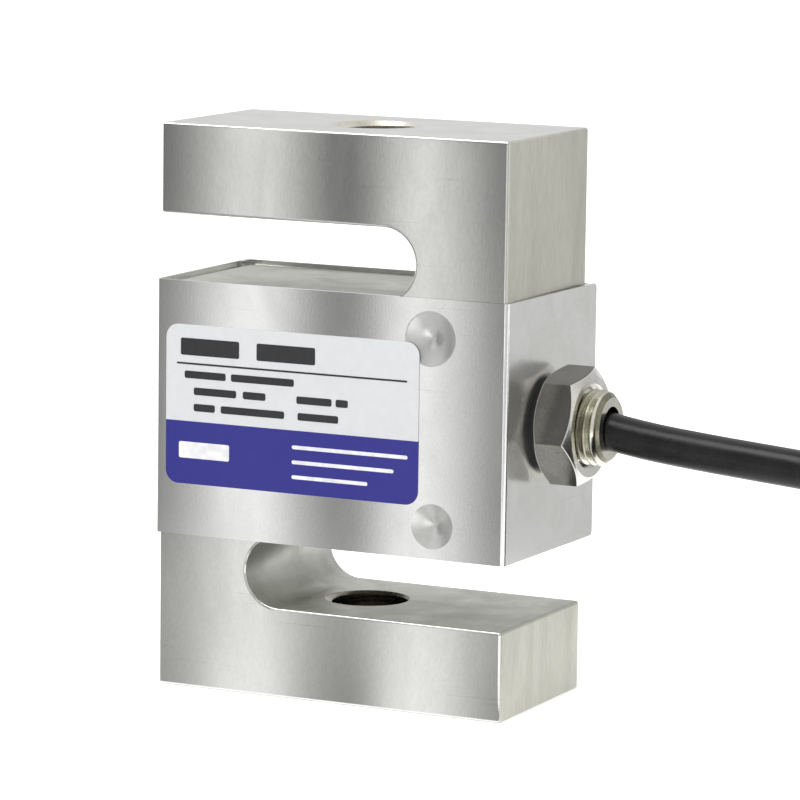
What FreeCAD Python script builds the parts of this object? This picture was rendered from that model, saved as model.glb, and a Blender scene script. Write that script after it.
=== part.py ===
"""S type load cell, one tonne class: an S shaped spring element under two nested sheet covers.

Frame: X runs along the arms, Y through the thickness with the labelled face at -Y, Z up along the
load line. The origin is the centre of the lower threaded hole, on the bottom face. Millimetres.
"""

import FreeCAD, Part
import math
import os

import Sketcher

Vector = FreeCAD.Vector
Rotation = FreeCAD.Rotation

doc = FreeCAD.newDocument("s_type_load_cell")

# ---------------------------------------------------------------- driving dimensions

SIZES = [
    # spring element
    ("cell_width", 50.8),
    ("cell_depth", 25.4),
    ("cell_height", 76.2),
    ("arm_thick", 12.1),
    ("slot_gap", 9.5),
    ("slot_reach", 12.2),
    ("edge_round", 0.4),
    # M12 load threads, modelled at their tapping diameter
    ("load_bore", 10.2),
    ("outer_mouth", 12.2),
    ("inner_mouth", 11.0),
    # gauge pockets, with the thin sensing web between them, and the wiring hole beside it
    ("pocket_size", 18.0),
    ("pocket_corner", 3.0),
    ("web_thick", 4.0),
    ("wiring_bore", 8.0),
    ("wiring_offset", 11.0),
    ("potting_thick", 3.0),
    # formed sheet covers
    ("sheet_thick", 0.4),
    ("cover_overlap", 0.65),
    ("cover_fit", 0.05),
    ("front_reach", 1.5),
    ("front_bend", 0.6),
    ("rear_standoff", 0.3),
    ("rear_return", 3.0),
    ("nest_gap", 0.05),
    # two dimples that stake the front cover
    ("dimple_depth", 0.9),
    ("dimple_pit_width", 2.7),
    ("dimple_pit_depth", 0.55),
    ("dimple_clear", 0.2),
    ("upper_dimple_width", 7.3),
    ("upper_dimple_offset", 14.8),
    ("upper_dimple_rise", 11.9),
    ("lower_dimple_width", 6.0),
    ("lower_dimple_offset", 15.4),
    ("lower_dimple_drop", 12.8),
    # name label
    ("label_width", 37.5),
    ("label_height", 21.5),
    ("label_thick", 0.12),
    ("label_corner", 1.8),
    ("label_offset", 5.45),
    ("label_rise", 0.55),
    # cable gland, M10 fine thread
    ("gland_thread", 10.0),
    ("gland_depth", 7.0),
    ("gland_reach", 9.6),
    ("gland_bore", 5.8),
    ("gland_tip_chamfer", 0.9),
    ("cable_passage", 6.2),
    ("cover_hole_clear", 0.3),
    ("washer_width", 13.4),
    ("nut_inner_face", 1.3),
    ("nut_flats", 14.0),
    ("nut_height", 5.5),
    ("nut_mouth_width", 11.4),
    ("nut_mouth_depth", 0.7),
    ("nut_turn", 19.0),
    ("nut_face_share", 0.95),
    ("seal_length", 4.2),
    ("seal_recess", 2.0),
    # cable
    ("cable_width", 5.0),
    ("core_width", 1.1),
    ("core_spacing", 1.3),
    # gauges, board and wiring inside
    ("gauge_width", 11.0),
    ("gauge_height", 8.0),
    ("gauge_film", 0.08),
    ("tab_width", 1.4),
    ("tab_height", 1.2),
    ("tab_thick", 0.12),
    ("tab_spacing", 2.6),
    ("board_width", 12.0),
    ("board_depth", 5.0),
    ("board_thick", 0.8),
    ("board_back", 1.8),
    ("chip_width", 2.0),
    ("chip_depth", 1.25),
    ("chip_height", 0.55),
    ("chip_spacing", 3.0),
    ("lead_width", 0.3),
    # put-away hank of cable
    ("hank_lead", 85.6),
    ("hank_shift", 8.0),
    ("hank_run", 71.0),
    ("hank_bend", 15.5),
    ("turn_pitch", 5.1),
    ("hank_columns", 2),
    ("hank_rows", 6),
    ("tie_width", 7.0),
    ("tie_thick", 0.6),
    ("tie_along", 54.0),
    ("sleeve_width", 6.0),
    ("sleeve_length", 12.0),
    ("sleeve_along", 27.0),
    ("sleeve_gap", 0.1),
    ("strand_width", 0.6),
    ("strand_bare", 5.0),
    ("drain_width", 0.6),
]

sheet = doc.addObject("Spreadsheet::Sheet", "sizes")
for row, (alias, value) in enumerate(SIZES, 1):
    sheet.set(f"A{row}", alias)
    sheet.set(f"B{row}", str(value))
    sheet.setAlias(f"B{row}", alias)
doc.recompute()

# Places that several pieces share, as expressions on the sheet.
MIDDLE = "sizes.cell_height / 2"
HALF_WIDTH = "sizes.cell_width / 2"
HALF_DEPTH = "sizes.cell_depth / 2"
BLOCK_LOW = "(sizes.arm_thick + sizes.slot_gap)"
BLOCK_HIGH = "(sizes.cell_height - sizes.arm_thick - sizes.slot_gap)"
COVER_LOW = f"({BLOCK_LOW} - sizes.cover_overlap)"
COVER_HEIGHT = f"({BLOCK_HIGH} - {BLOCK_LOW} + 2 * sizes.cover_overlap)"
WEB_FACE = "sizes.web_thick / 2"
POCKET_FLOOR = f"({MIDDLE} - sizes.pocket_size / 2)"
FRONT_INNER = f"({HALF_WIDTH} + sizes.cover_fit)"
FRONT_OUTER = f"({FRONT_INNER} + sizes.sheet_thick)"
FRONT_FACE = f"({HALF_DEPTH} + sizes.sheet_thick)"
REAR_FACE = f"({HALF_DEPTH} + sizes.rear_standoff)"
REAR_TIP = f"({REAR_FACE} + sizes.sheet_thick - sizes.rear_return)"
FRONT_END = f"({HALF_DEPTH} + sizes.front_reach)"
# The front cover's sides lean out so that they pass over the rear cover's returns.
SPLAY = (
    f"((sizes.sheet_thick + sizes.nest_gap) * ({FRONT_END} + {HALF_DEPTH})"
    f" / ({REAR_TIP} + {HALF_DEPTH}))"
)
NUT_FACE = f"({HALF_WIDTH} + sizes.nut_inner_face)"
GLAND_TIP = f"({HALF_WIDTH} + sizes.gland_reach)"
SEAL_FACE = f"({GLAND_TIP} - sizes.seal_recess)"


def size(expression):
    """The number that an expression on the sheet gives now."""
    value = sheet.evalExpression(str(expression))
    return float(getattr(value, "Value", value))


# ---------------------------------------------------------------- modelling helpers


def new_body(label):
    body = doc.addObject("PartDesign::Body", label)
    body.Label = label
    return body


def new_sketch(body, name, role, offset="0"):
    """A sketch on one of the body's origin planes, moved along the plane's normal."""
    sketch = body.newObject("Sketcher::SketchObject", f"{body.Label}_{name}")
    plane = next(f for f in body.Origin.OriginFeatures if f.Role == role)
    sketch.AttachmentSupport = [(plane, "")]
    sketch.MapMode = "FlatFace"
    sketch.setExpression("AttachmentOffset.Base.z", offset)
    return sketch


def fix_point(sketch, element, end, x, y):
    """Holds one point of a sketch element at two expressions."""
    for kind, expression in (("DistanceX", x), ("DistanceY", y)):
        number = sketch.addConstraint(
            Sketcher.Constraint(kind, -1, 1, element, end, size(expression))
        )
        sketch.setExpression(f"Constraints[{number}]", str(expression))


def add_polygon(sketch, corners):
    """A closed outline through the given corners, each an (x, y) pair of expressions."""
    first = sketch.GeometryCount
    places = [Vector(size(x), size(y), 0) for x, y in corners]
    count = len(places)
    for number, place in enumerate(places):
        sketch.addGeometry(Part.LineSegment(place, places[(number + 1) % count]), False)
    for number, (x, y) in enumerate(corners):
        after = first + (number + 1) % count
        sketch.addConstraint(Sketcher.Constraint("Coincident", first + number, 2, after, 1))
        fix_point(sketch, first + number, 1, x, y)


def add_rectangle(sketch, low_x, low_y, high_x, high_y):
    add_polygon(
        sketch, [(low_x, low_y), (high_x, low_y), (high_x, high_y), (low_x, high_y)]
    )


def add_circle(sketch, x, y, radius):
    number = sketch.addGeometry(
        Part.Circle(Vector(size(x), size(y), 0), Vector(0, 0, 1), size(radius)), False
    )
    fix_point(sketch, number, 3, x, y)
    ring = sketch.addConstraint(Sketcher.Constraint("Radius", number, size(radius)))
    sketch.setExpression(f"Constraints[{ring}]", radius)


def add_round_ended(sketch, open_x, centre_x, low, high):
    """An outline that is square at open_x and ends in a half circle about centre_x."""
    start, centre = size(open_x), size(centre_x)
    bottom, top = size(low), size(high)
    radius = (top - bottom) / 2
    to_the_right = centre > start
    turn = -math.pi / 2 if to_the_right else math.pi / 2
    circle = Part.Circle(Vector(centre, bottom + radius, 0), Vector(0, 0, 1), radius)
    lower = sketch.addGeometry(
        Part.LineSegment(Vector(start, bottom, 0), Vector(centre, bottom, 0)), False
    )
    bow = sketch.addGeometry(Part.ArcOfCircle(circle, turn, turn + math.pi), False)
    upper = sketch.addGeometry(
        Part.LineSegment(Vector(centre, top, 0), Vector(start, top, 0)), False
    )
    mouth = sketch.addGeometry(
        Part.LineSegment(Vector(start, top, 0), Vector(start, bottom, 0)), False
    )
    from_below, from_above = (1, 2) if to_the_right else (2, 1)
    for pair in (
        (lower, 2, bow, from_below),
        (upper, 1, bow, from_above),
        (upper, 2, mouth, 1),
        (mouth, 2, lower, 1),
    ):
        sketch.addConstraint(Sketcher.Constraint("Coincident", *pair))
    fix_point(sketch, mouth, 1, open_x, high)
    fix_point(sketch, mouth, 2, open_x, low)
    for line in (lower, upper):
        sketch.addConstraint(Sketcher.Constraint("Horizontal", line))
    for element, end in ((lower, 2), (upper, 1), (bow, 3)):
        number = sketch.addConstraint(
            Sketcher.Constraint("DistanceX", -1, 1, element, end, centre)
        )
        sketch.setExpression(f"Constraints[{number}]", centre_x)


def add_racetrack(sketch, left, right, middle, radius):
    """Two half circles of one radius joined by straight sides."""
    ring = size(radius)
    centres = [Vector(size(x), size(middle), 0) for x in (left, right)]
    bows = []
    for centre, turn in zip(centres, (math.pi / 2, -math.pi / 2)):
        circle = Part.Circle(centre, Vector(0, 0, 1), ring)
        bows.append(sketch.addGeometry(Part.ArcOfCircle(circle, turn, turn + math.pi), False))
    up = Vector(0, ring, 0)
    lower = sketch.addGeometry(Part.LineSegment(centres[0] - up, centres[1] - up), False)
    upper = sketch.addGeometry(Part.LineSegment(centres[1] + up, centres[0] + up), False)
    for pair in (
        (lower, 1, bows[0], 2),
        (lower, 2, bows[1], 1),
        (upper, 1, bows[1], 2),
        (upper, 2, bows[0], 1),
    ):
        sketch.addConstraint(Sketcher.Constraint("Tangent", *pair))
    for bow, x in zip(bows, (left, right)):
        fix_point(sketch, bow, 3, x, middle)
        number = sketch.addConstraint(Sketcher.Constraint("Radius", bow, ring))
        sketch.setExpression(f"Constraints[{number}]", radius)


def extrude(body, kind, sketch, length, backwards=False):
    """A Pad or a Pocket of a stated length."""
    feature = body.newObject(f"PartDesign::{kind}", f"{sketch.Label}_{kind.lower()}")
    feature.Profile = sketch
    feature.setExpression("Length", length)
    feature.Reversed = backwards
    doc.recompute()
    return feature


def revolve(body, kind, sketch, axis="V_Axis"):
    """A Revolution or a Groove of a full turn."""
    feature = body.newObject(f"PartDesign::{kind}", f"{sketch.Label}_{kind.lower()}")
    feature.Profile = sketch
    feature.ReferenceAxis = (sketch, [axis])
    feature.Angle = 360
    doc.recompute()
    return feature


def round_edges(body, base, radius, wanted):
    """A Fillet on each edge of the base that wanted() accepts."""
    names = [f"Edge{n}" for n, edge in enumerate(base.Shape.Edges, 1) if wanted(edge)]
    fillet = body.newObject("PartDesign::Fillet", f"{base.Label}_round")
    fillet.Base = (base, names)
    fillet.setExpression("Radius", radius)
    doc.recompute()
    return fillet


def runs_along(edge, direction):
    """Whether an edge is straight and parallel to a direction."""
    if edge.Degenerated or len(edge.Vertexes) < 2:
        return False
    span = edge.Vertexes[1].Point - edge.Vertexes[0].Point
    straight = abs(span.Length - edge.Length) < 0.001
    return straight and abs(span.dot(direction)) > 0.999 * edge.Length


def stands_at(edge, axis_places):
    """Whether an edge's middle lies at one of the given (x, y, z) places; None fits any."""
    middle = edge.CenterOfMass
    for place in axis_places:
        wanted = [(m, p) for m, p in zip(middle, place) if p is not None]
        if all(abs(m - p) < 0.01 for m, p in wanted):
            return True
    return False


def turned(label, profile):
    """A piece turned about its own Z axis from a closed (radius, along) profile."""
    body = new_body(label)
    sketch = new_sketch(body, "profile", "XZ_Plane")
    add_polygon(sketch, profile)
    revolve(body, "Revolution", sketch)
    return body


def put_on_gland_axis(piece, along, turn=0.0):
    """Lays a piece's own Z axis along the gland, starting at the given X."""
    piece.Placement = FreeCAD.Placement(
        Vector(0, 0, 0), Rotation(Vector(0, 1, 0), 90) * Rotation(Vector(0, 0, 1), turn)
    )
    piece.setExpression("Placement.Base.x", along)
    piece.setExpression("Placement.Base.z", MIDDLE)


def box(label, low, sides):
    """A plain block from its lowest corner and its three sides, all expressions."""
    block = doc.addObject("Part::Box", label)
    block.Label = label
    for axis, place, prop, side in zip("xyz", low, ("Length", "Width", "Height"), sides):
        block.setExpression(f"Placement.Base.{axis}", place)
        block.setExpression(prop, side)
    return block


def rounded_path(points):
    """Straight runs joined by tangent arcs, each as large as its two runs allow."""
    places = [Vector(*point) for point in points]
    edges = []
    radii = []
    here = places[0]
    for before, corner, after in zip(places, places[1:], places[2:]):
        into = (corner - before).normalize()
        out = (after - corner).normalize()
        half_turn = into.getAngle(out) / 2
        cut = 0.45 * min(corner.distanceToPoint(before), corner.distanceToPoint(after))
        radius = cut / math.tan(half_turn)
        start = corner - into * cut
        end = corner + out * cut
        inward = (out - into).normalize()
        middle = corner + inward * (radius / math.cos(half_turn) - radius)
        edges.append(Part.LineSegment(here, start).toShape())
        edges.append(Part.Arc(start, middle, end).toShape())
        radii.append(radius)
        here = end
    edges.append(Part.LineSegment(here, places[-1]).toShape())
    return Part.Wire(edges), radii


def tube_shape(points, diameter):
    """A round solid along a rounded path, checked against its section times its length."""
    path, radii = rounded_path(points)
    start = Vector(*points[0])
    heading = Vector(*points[1]) - start
    section = Part.Wire(Part.makeCircle(diameter / 2, start, heading))
    shape = path.makePipeShell([section], True, True)
    expected = math.pi * diameter**2 / 4 * path.Length
    if abs(shape.Volume / expected - 1) > 0.01:
        raise ValueError(f"tube volume {shape.Volume:.2f}, expected {expected:.2f}")
    return shape, radii, path.Length


def feature(label, shape):
    piece = doc.addObject("Part::Feature", label)
    piece.Label = label
    piece.Shape = shape
    return piece


ALONG_X, ALONG_Y, ALONG_Z = Vector(1, 0, 0), Vector(0, 1, 0), Vector(0, 0, 1)
pieces = []

# ---------------------------------------------------------------- spring element

spring = new_body("spring_element")
pieces.append(spring)

outline = new_sketch(spring, "outline", "XZ_Plane", f"-{HALF_DEPTH}")
add_rectangle(outline, f"-{HALF_WIDTH}", "0", HALF_WIDTH, "sizes.cell_height")
extrude(spring, "Pad", outline, "sizes.cell_depth")

# Each slot runs in from one side and ends in a full round past the load line.
slot_end = "(sizes.slot_reach - sizes.slot_gap / 2)"
past_side = f"({HALF_WIDTH} + 1)"
upper_slot = new_sketch(spring, "upper_slot", "XZ_Plane", HALF_DEPTH)
add_round_ended(
    upper_slot, f"-{past_side}", slot_end, BLOCK_HIGH, "(sizes.cell_height - sizes.arm_thick)"
)
extrude(spring, "Pocket", upper_slot, "sizes.cell_depth")
lower_slot = new_sketch(spring, "lower_slot", "XZ_Plane", HALF_DEPTH)
add_round_ended(lower_slot, past_side, f"-{slot_end}", "sizes.arm_thick", BLOCK_LOW)
slots_cut = extrude(spring, "Pocket", lower_slot, "sizes.cell_depth")

# Every outer edge is broken, apart from the lines where a slot's wall runs into its round end.
slot_tangents = [(size(f"{sign} * {slot_end}"), 0.0, None) for sign in (1, -1)]
round_edges(
    spring,
    slots_cut,
    "sizes.edge_round",
    lambda edge: not (runs_along(edge, ALONG_Y) and stands_at(edge, slot_tangents)),
)


def bore_profile(low, high, low_mouth, high_mouth):
    """Half section of a bore between two faces, countersunk at 45 degrees at each."""
    wall = "sizes.load_bore / 2"
    return [
        ("0", low),
        (f"{low_mouth} / 2", low),
        (wall, f"({low} + {low_mouth} / 2 - {wall})"),
        (wall, f"({high} - {high_mouth} / 2 + {wall})"),
        (f"{high_mouth} / 2", high),
        ("0", high),
    ]


lower_bore = new_sketch(spring, "lower_bore", "XZ_Plane")
add_polygon(
    lower_bore,
    bore_profile("0", "sizes.arm_thick", "sizes.outer_mouth", "sizes.inner_mouth"),
)
revolve(spring, "Groove", lower_bore)
upper_bore = new_sketch(spring, "upper_bore", "XZ_Plane")
add_polygon(
    upper_bore,
    bore_profile(
        "(sizes.cell_height - sizes.arm_thick)",
        "sizes.cell_height",
        "sizes.inner_mouth",
        "sizes.outer_mouth",
    ),
)
revolve(spring, "Groove", upper_bore)

# A pocket from each face leaves the thin web that the gauges are bonded to.
pocket_depth = f"{HALF_DEPTH} - {WEB_FACE}"
pocket_side = "sizes.pocket_size / 2"
for name, offset, backwards in (
    ("front_pocket", HALF_DEPTH, False),
    ("rear_pocket", f"-{HALF_DEPTH}", True),
):
    pocket = new_sketch(spring, name, "XZ_Plane", offset)
    add_rectangle(
        pocket,
        f"-{pocket_side}",
        f"{MIDDLE} - {pocket_side}",
        pocket_side,
        f"{MIDDLE} + {pocket_side}",
    )
    pocket_cut = extrude(spring, "Pocket", pocket, pocket_depth, backwards)
pocket_corners = [
    (size(f"{x} * {pocket_side}"), None, size(f"{MIDDLE} + {z} * {pocket_side}"))
    for x in (1, -1)
    for z in (1, -1)
]
round_edges(
    spring,
    pocket_cut,
    "sizes.pocket_corner",
    lambda edge: runs_along(edge, ALONG_Y) and stands_at(edge, pocket_corners),
)
wiring = new_sketch(spring, "wiring_bore", "XZ_Plane", HALF_DEPTH)
add_circle(wiring, "sizes.wiring_offset", MIDDLE, "sizes.wiring_bore / 2")
extrude(spring, "Pocket", wiring, "sizes.cell_depth")

# The gland's thread and the passage behind it, which opens into the wiring bore.
for name, width, depth in (
    ("gland_hole", "sizes.gland_thread", "sizes.gland_depth"),
    ("cable_hole", "sizes.cable_passage", f"{HALF_WIDTH} - sizes.wiring_offset"),
):
    hole = new_sketch(spring, name, "YZ_Plane", HALF_WIDTH)
    add_circle(hole, "0", MIDDLE, f"{width} / 2")
    extrude(spring, "Pocket", hole, depth)

# Recesses that the front cover's dimples are pressed into.
UPPER_DIMPLE_Z = f"({MIDDLE} + sizes.upper_dimple_rise)"
LOWER_DIMPLE_Z = f"({MIDDLE} - sizes.lower_dimple_drop)"
DIMPLES = [
    ("upper", "sizes.upper_dimple_offset", UPPER_DIMPLE_Z, "sizes.upper_dimple_width / 2"),
    ("lower", "sizes.lower_dimple_offset", LOWER_DIMPLE_Z, "sizes.lower_dimple_width / 2"),
]
recess = new_sketch(spring, "dimple_recess", "XZ_Plane", HALF_DEPTH)
for _, across, up, radius in DIMPLES:
    add_circle(recess, across, up, f"{radius} + sizes.dimple_clear")
extrude(
    spring,
    "Pocket",
    recess,
    "sizes.dimple_depth + sizes.dimple_pit_depth + sizes.dimple_clear",
)

# ---------------------------------------------------------------- covers

front = new_body("front_cover")
pieces.append(front)
wrap = new_sketch(front, "wrap", "XY_Plane", COVER_LOW)
add_polygon(
    wrap,
    [
        (f"-{FRONT_OUTER}", f"-{FRONT_FACE}"),
        (FRONT_OUTER, f"-{FRONT_FACE}"),
        (f"{FRONT_OUTER} + {SPLAY}", FRONT_END),
        (f"{FRONT_INNER} + {SPLAY}", FRONT_END),
        (FRONT_INNER, f"-{HALF_DEPTH}"),
        (f"-{FRONT_INNER}", f"-{HALF_DEPTH}"),
        (f"-({FRONT_INNER} + {SPLAY})", FRONT_END),
        (f"-({FRONT_OUTER} + {SPLAY})", FRONT_END),
    ],
)
wrapped = extrude(front, "Pad", wrap, COVER_HEIGHT)
outer_bends = [
    (size(f"{sign} * {FRONT_OUTER}"), size(f"-{FRONT_FACE}"), None) for sign in (1, -1)
]
inner_bends = [
    (size(f"{sign} * {FRONT_INNER}"), size(f"-{HALF_DEPTH}"), None) for sign in (1, -1)
]
bent = round_edges(
    front,
    wrapped,
    "sizes.front_bend",
    lambda edge: runs_along(edge, ALONG_Z) and stands_at(edge, outer_bends),
)
bent = round_edges(
    front,
    bent,
    "sizes.front_bend - sizes.sheet_thick",
    lambda edge: runs_along(edge, ALONG_Z) and stands_at(edge, inner_bends),
)
rear_corners = [
    (size(f"{sign} * ({FRONT_OUTER} + {SPLAY} - sizes.sheet_thick / 2)"), size(FRONT_END), level)
    for sign in (1, -1)
    for level in (size(COVER_LOW), size(f"{COVER_LOW} + {COVER_HEIGHT}"))
]
round_edges(
    front,
    bent,
    "sizes.front_bend",
    lambda edge: runs_along(edge, ALONG_X) and stands_at(edge, rear_corners),
)

cable_opening = new_sketch(front, "cable_opening", "YZ_Plane", f"{HALF_WIDTH} + 3")
add_circle(cable_opening, "0", MIDDLE, "sizes.gland_thread / 2 + sizes.cover_hole_clear")
extrude(front, "Pocket", cable_opening, "4")

for name, across, up, radius in DIMPLES:
    blank = new_sketch(front, f"{name}_dimple_hole", "XZ_Plane", FRONT_FACE)
    add_circle(blank, across, up, radius)
    extrude(front, "Pocket", blank, "sizes.sheet_thick")
    dish = new_sketch(front, f"{name}_dimple", "XY_Plane", up)
    pit = "sizes.dimple_pit_width / 2"
    dish_floor = f"(sizes.dimple_depth - {FRONT_FACE})"
    pit_floor = f"({dish_floor} + sizes.dimple_pit_depth)"
    add_polygon(
        dish,
        [
            (f"{across} + {radius}", f"-{FRONT_FACE}"),
            (f"{across} + {pit}", dish_floor),
            (f"{across} + {pit} / 2", pit_floor),
            (across, pit_floor),
            (across, f"{pit_floor} + sizes.sheet_thick"),
            (f"{across} + {pit} / 2", f"{pit_floor} + sizes.sheet_thick"),
            (f"{across} + {pit}", f"{dish_floor} + sizes.sheet_thick"),
            (f"{across} + {radius}", f"-{HALF_DEPTH}"),
        ],
    )
    centre = size(across)
    spin = dish.addGeometry(Part.LineSegment(Vector(centre, -1, 0), Vector(centre, 1, 0)), True)
    for end, level in ((1, "-1"), (2, "1")):
        fix_point(dish, spin, end, across, level)
    revolve(front, "Revolution", dish, "Axis0")

rear = new_body("rear_cover")
pieces.append(rear)
tray = new_sketch(rear, "tray", "XY_Plane", COVER_LOW)
rear_inner = FRONT_INNER
rear_outer = f"({FRONT_INNER} + sizes.sheet_thick)"
rear_back = f"({REAR_FACE} + sizes.sheet_thick)"
add_polygon(
    tray,
    [
        (f"-{rear_outer}", REAR_TIP),
        (f"-{rear_inner}", REAR_TIP),
        (f"-{rear_inner}", REAR_FACE),
        (rear_inner, REAR_FACE),
        (rear_inner, REAR_TIP),
        (rear_outer, REAR_TIP),
        (rear_outer, rear_back),
        (f"-{rear_outer}", rear_back),
    ],
)
trayed = extrude(rear, "Pad", tray, COVER_HEIGHT)
rear_bends = [(size(f"{sign} * {rear_outer}"), size(rear_back), None) for sign in (1, -1)]
round_edges(
    rear,
    trayed,
    "sizes.front_bend",
    lambda edge: runs_along(edge, ALONG_Z) and stands_at(edge, rear_bends),
)

# ---------------------------------------------------------------- name label

label = new_body("name_label")
pieces.append(label)
LABEL_MIDDLE = f"({MIDDLE} + sizes.label_rise)"
plate = new_sketch(label, "plate", "XZ_Plane", FRONT_FACE)
add_rectangle(
    plate,
    "-sizes.label_offset - sizes.label_width / 2",
    f"{LABEL_MIDDLE} - sizes.label_height / 2",
    "-sizes.label_offset + sizes.label_width / 2",
    f"{LABEL_MIDDLE} + sizes.label_height / 2",
)
sticker = extrude(label, "Pad", plate, "sizes.label_thick")
round_edges(label, sticker, "sizes.label_corner", lambda edge: runs_along(edge, ALONG_Y))

# ---------------------------------------------------------------- gauges and potting

for side, sign in (("front", -1), ("rear", 1)):
    # Offsets along the XZ plane's normal, which points to -Y.
    film_back = f"{-sign} * {WEB_FACE}"
    gauge = new_body(f"{side}_gauge")
    pieces.append(gauge)
    film = new_sketch(gauge, "film", "XZ_Plane", film_back)
    add_rectangle(
        film,
        "-sizes.gauge_width / 2",
        f"{MIDDLE} - sizes.gauge_height / 2",
        "sizes.gauge_width / 2",
        f"{MIDDLE} + sizes.gauge_height / 2",
    )
    extrude(gauge, "Pad", film, "sizes.gauge_film", sign > 0)
    # The front gauge's solder tabs are along its lower edge and the rear one's along its upper.
    tab_row = f"({MIDDLE} + {sign} * (sizes.gauge_height / 2 - sizes.tab_height))"
    tabs = new_sketch(gauge, "tabs", "XZ_Plane", film_back)
    for place in range(4):
        across = f"sizes.tab_spacing * {place - 1.5}"
        add_rectangle(
            tabs,
            f"{across} - sizes.tab_width / 2",
            f"{tab_row} - sizes.tab_height / 2",
            f"{across} + sizes.tab_width / 2",
            f"{tab_row} + sizes.tab_height / 2",
        )
    extrude(gauge, "Pad", tabs, "sizes.gauge_film + sizes.tab_thick", sign > 0)

    potting = new_body(f"{side}_potting")
    pieces.append(potting)
    mouth = f"{-sign} * ({HALF_DEPTH} - sizes.potting_thick)"
    square = new_sketch(potting, "square", "XZ_Plane", mouth)
    add_rectangle(
        square,
        f"-{pocket_side}",
        f"{MIDDLE} - {pocket_side}",
        pocket_side,
        f"{MIDDLE} + {pocket_side}",
    )
    filled = extrude(potting, "Pad", square, "sizes.potting_thick", sign > 0)
    round_edges(
        potting, filled, "sizes.pocket_corner", lambda edge: runs_along(edge, ALONG_Y)
    )
    lobe = new_sketch(potting, "lobe", "XZ_Plane", mouth)
    add_circle(lobe, "sizes.wiring_offset", MIDDLE, "sizes.wiring_bore / 2")
    extrude(potting, "Pad", lobe, "sizes.potting_thick", sign > 0)

# ---------------------------------------------------------------- bridge board

BOARD_BACK = f"({WEB_FACE} + sizes.board_back)"
BOARD_TOP = f"({POCKET_FLOOR} + sizes.board_thick)"
board = box(
    "bridge_board",
    ("-sizes.board_width / 2", f"-{BOARD_BACK} - sizes.board_depth", POCKET_FLOOR),
    ("sizes.board_width", "sizes.board_depth", "sizes.board_thick"),
)
pieces.append(board)
for label_text, place in (
    ("span_resistor_left", -1),
    ("zero_resistor", 0),
    ("span_resistor_right", 1),
):
    chip = box(
        label_text,
        (
            f"{place} * sizes.chip_spacing - sizes.chip_width / 2",
            f"-{BOARD_BACK} - sizes.board_depth + sizes.chip_depth / 2",
            BOARD_TOP,
        ),
        ("sizes.chip_width", "sizes.chip_depth", "sizes.chip_height"),
    )
    pieces.append(chip)

# ---------------------------------------------------------------- cable gland

stud_inner_end = f"({HALF_WIDTH} - sizes.gland_depth)"
stud_length = "(sizes.gland_depth + sizes.gland_reach)"
stud_radius = "sizes.gland_thread / 2"
bore_radius = "sizes.gland_bore / 2"
stud = turned(
    "gland_stud",
    [
        (bore_radius, "0"),
        (stud_radius, "0"),
        (stud_radius, f"{stud_length} - sizes.gland_tip_chamfer"),
        (f"{stud_radius} - sizes.gland_tip_chamfer", stud_length),
        (bore_radius, stud_length),
    ],
)
put_on_gland_axis(stud, stud_inner_end)
pieces.append(stud)

# A double chamfered hexagon: a prism met with a turned blank, then bored and countersunk.
corner_radius = f"(sizes.nut_flats / 2 / {math.cos(math.radians(30))})"
face_radius = "(sizes.nut_face_share * sizes.nut_flats / 2)"
nut_chamfer = f"(({corner_radius} - {face_radius}) * {math.tan(math.radians(30))})"
prism = doc.addObject("Part::Prism", "nut_prism")
prism.Polygon = 6
prism.setExpression("Circumradius", corner_radius)
prism.setExpression("Height", "sizes.nut_height")
blank_parts = []
for name, low, first, last, tall in (
    ("nut_inner_chamfer", "0", face_radius, corner_radius, nut_chamfer),
    (
        "nut_outer_chamfer",
        f"sizes.nut_height - {nut_chamfer}",
        corner_radius,
        face_radius,
        nut_chamfer,
    ),
):
    cone = doc.addObject("Part::Cone", name)
    cone.setExpression("Radius1", first)
    cone.setExpression("Radius2", last)
    cone.setExpression("Height", tall)
    cone.setExpression("Placement.Base.z", low)
    blank_parts.append(cone)
waist = doc.addObject("Part::Cylinder", "nut_waist")
waist.setExpression("Radius", corner_radius)
waist.setExpression("Height", f"sizes.nut_height - 2 * {nut_chamfer}")
waist.setExpression("Placement.Base.z", nut_chamfer)
blank_parts.append(waist)
blank = doc.addObject("Part::MultiFuse", "nut_blank")
blank.Shapes = blank_parts
hexagon = doc.addObject("Part::Common", "nut_hexagon")
hexagon.Base = prism
hexagon.Tool = blank
nut_bore = doc.addObject("Part::Cylinder", "nut_bore")
nut_bore.setExpression("Radius", stud_radius)
nut_bore.setExpression("Height", "sizes.nut_height")
nut_mouth = doc.addObject("Part::Cone", "nut_mouth")
nut_mouth.setExpression("Radius1", stud_radius)
nut_mouth.setExpression("Radius2", "sizes.nut_mouth_width / 2")
nut_mouth.setExpression("Height", "sizes.nut_mouth_depth")
nut_mouth.setExpression("Placement.Base.z", "sizes.nut_height - sizes.nut_mouth_depth")
nut_passage = doc.addObject("Part::MultiFuse", "nut_passage")
nut_passage.Shapes = [nut_bore, nut_mouth]
nut = doc.addObject("Part::Cut", "gland_nut")
nut.Label = "gland_nut"
nut.Base = hexagon
nut.Tool = nut_passage
put_on_gland_axis(nut, NUT_FACE, -size("sizes.nut_turn"))
pieces.append(nut)

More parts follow.
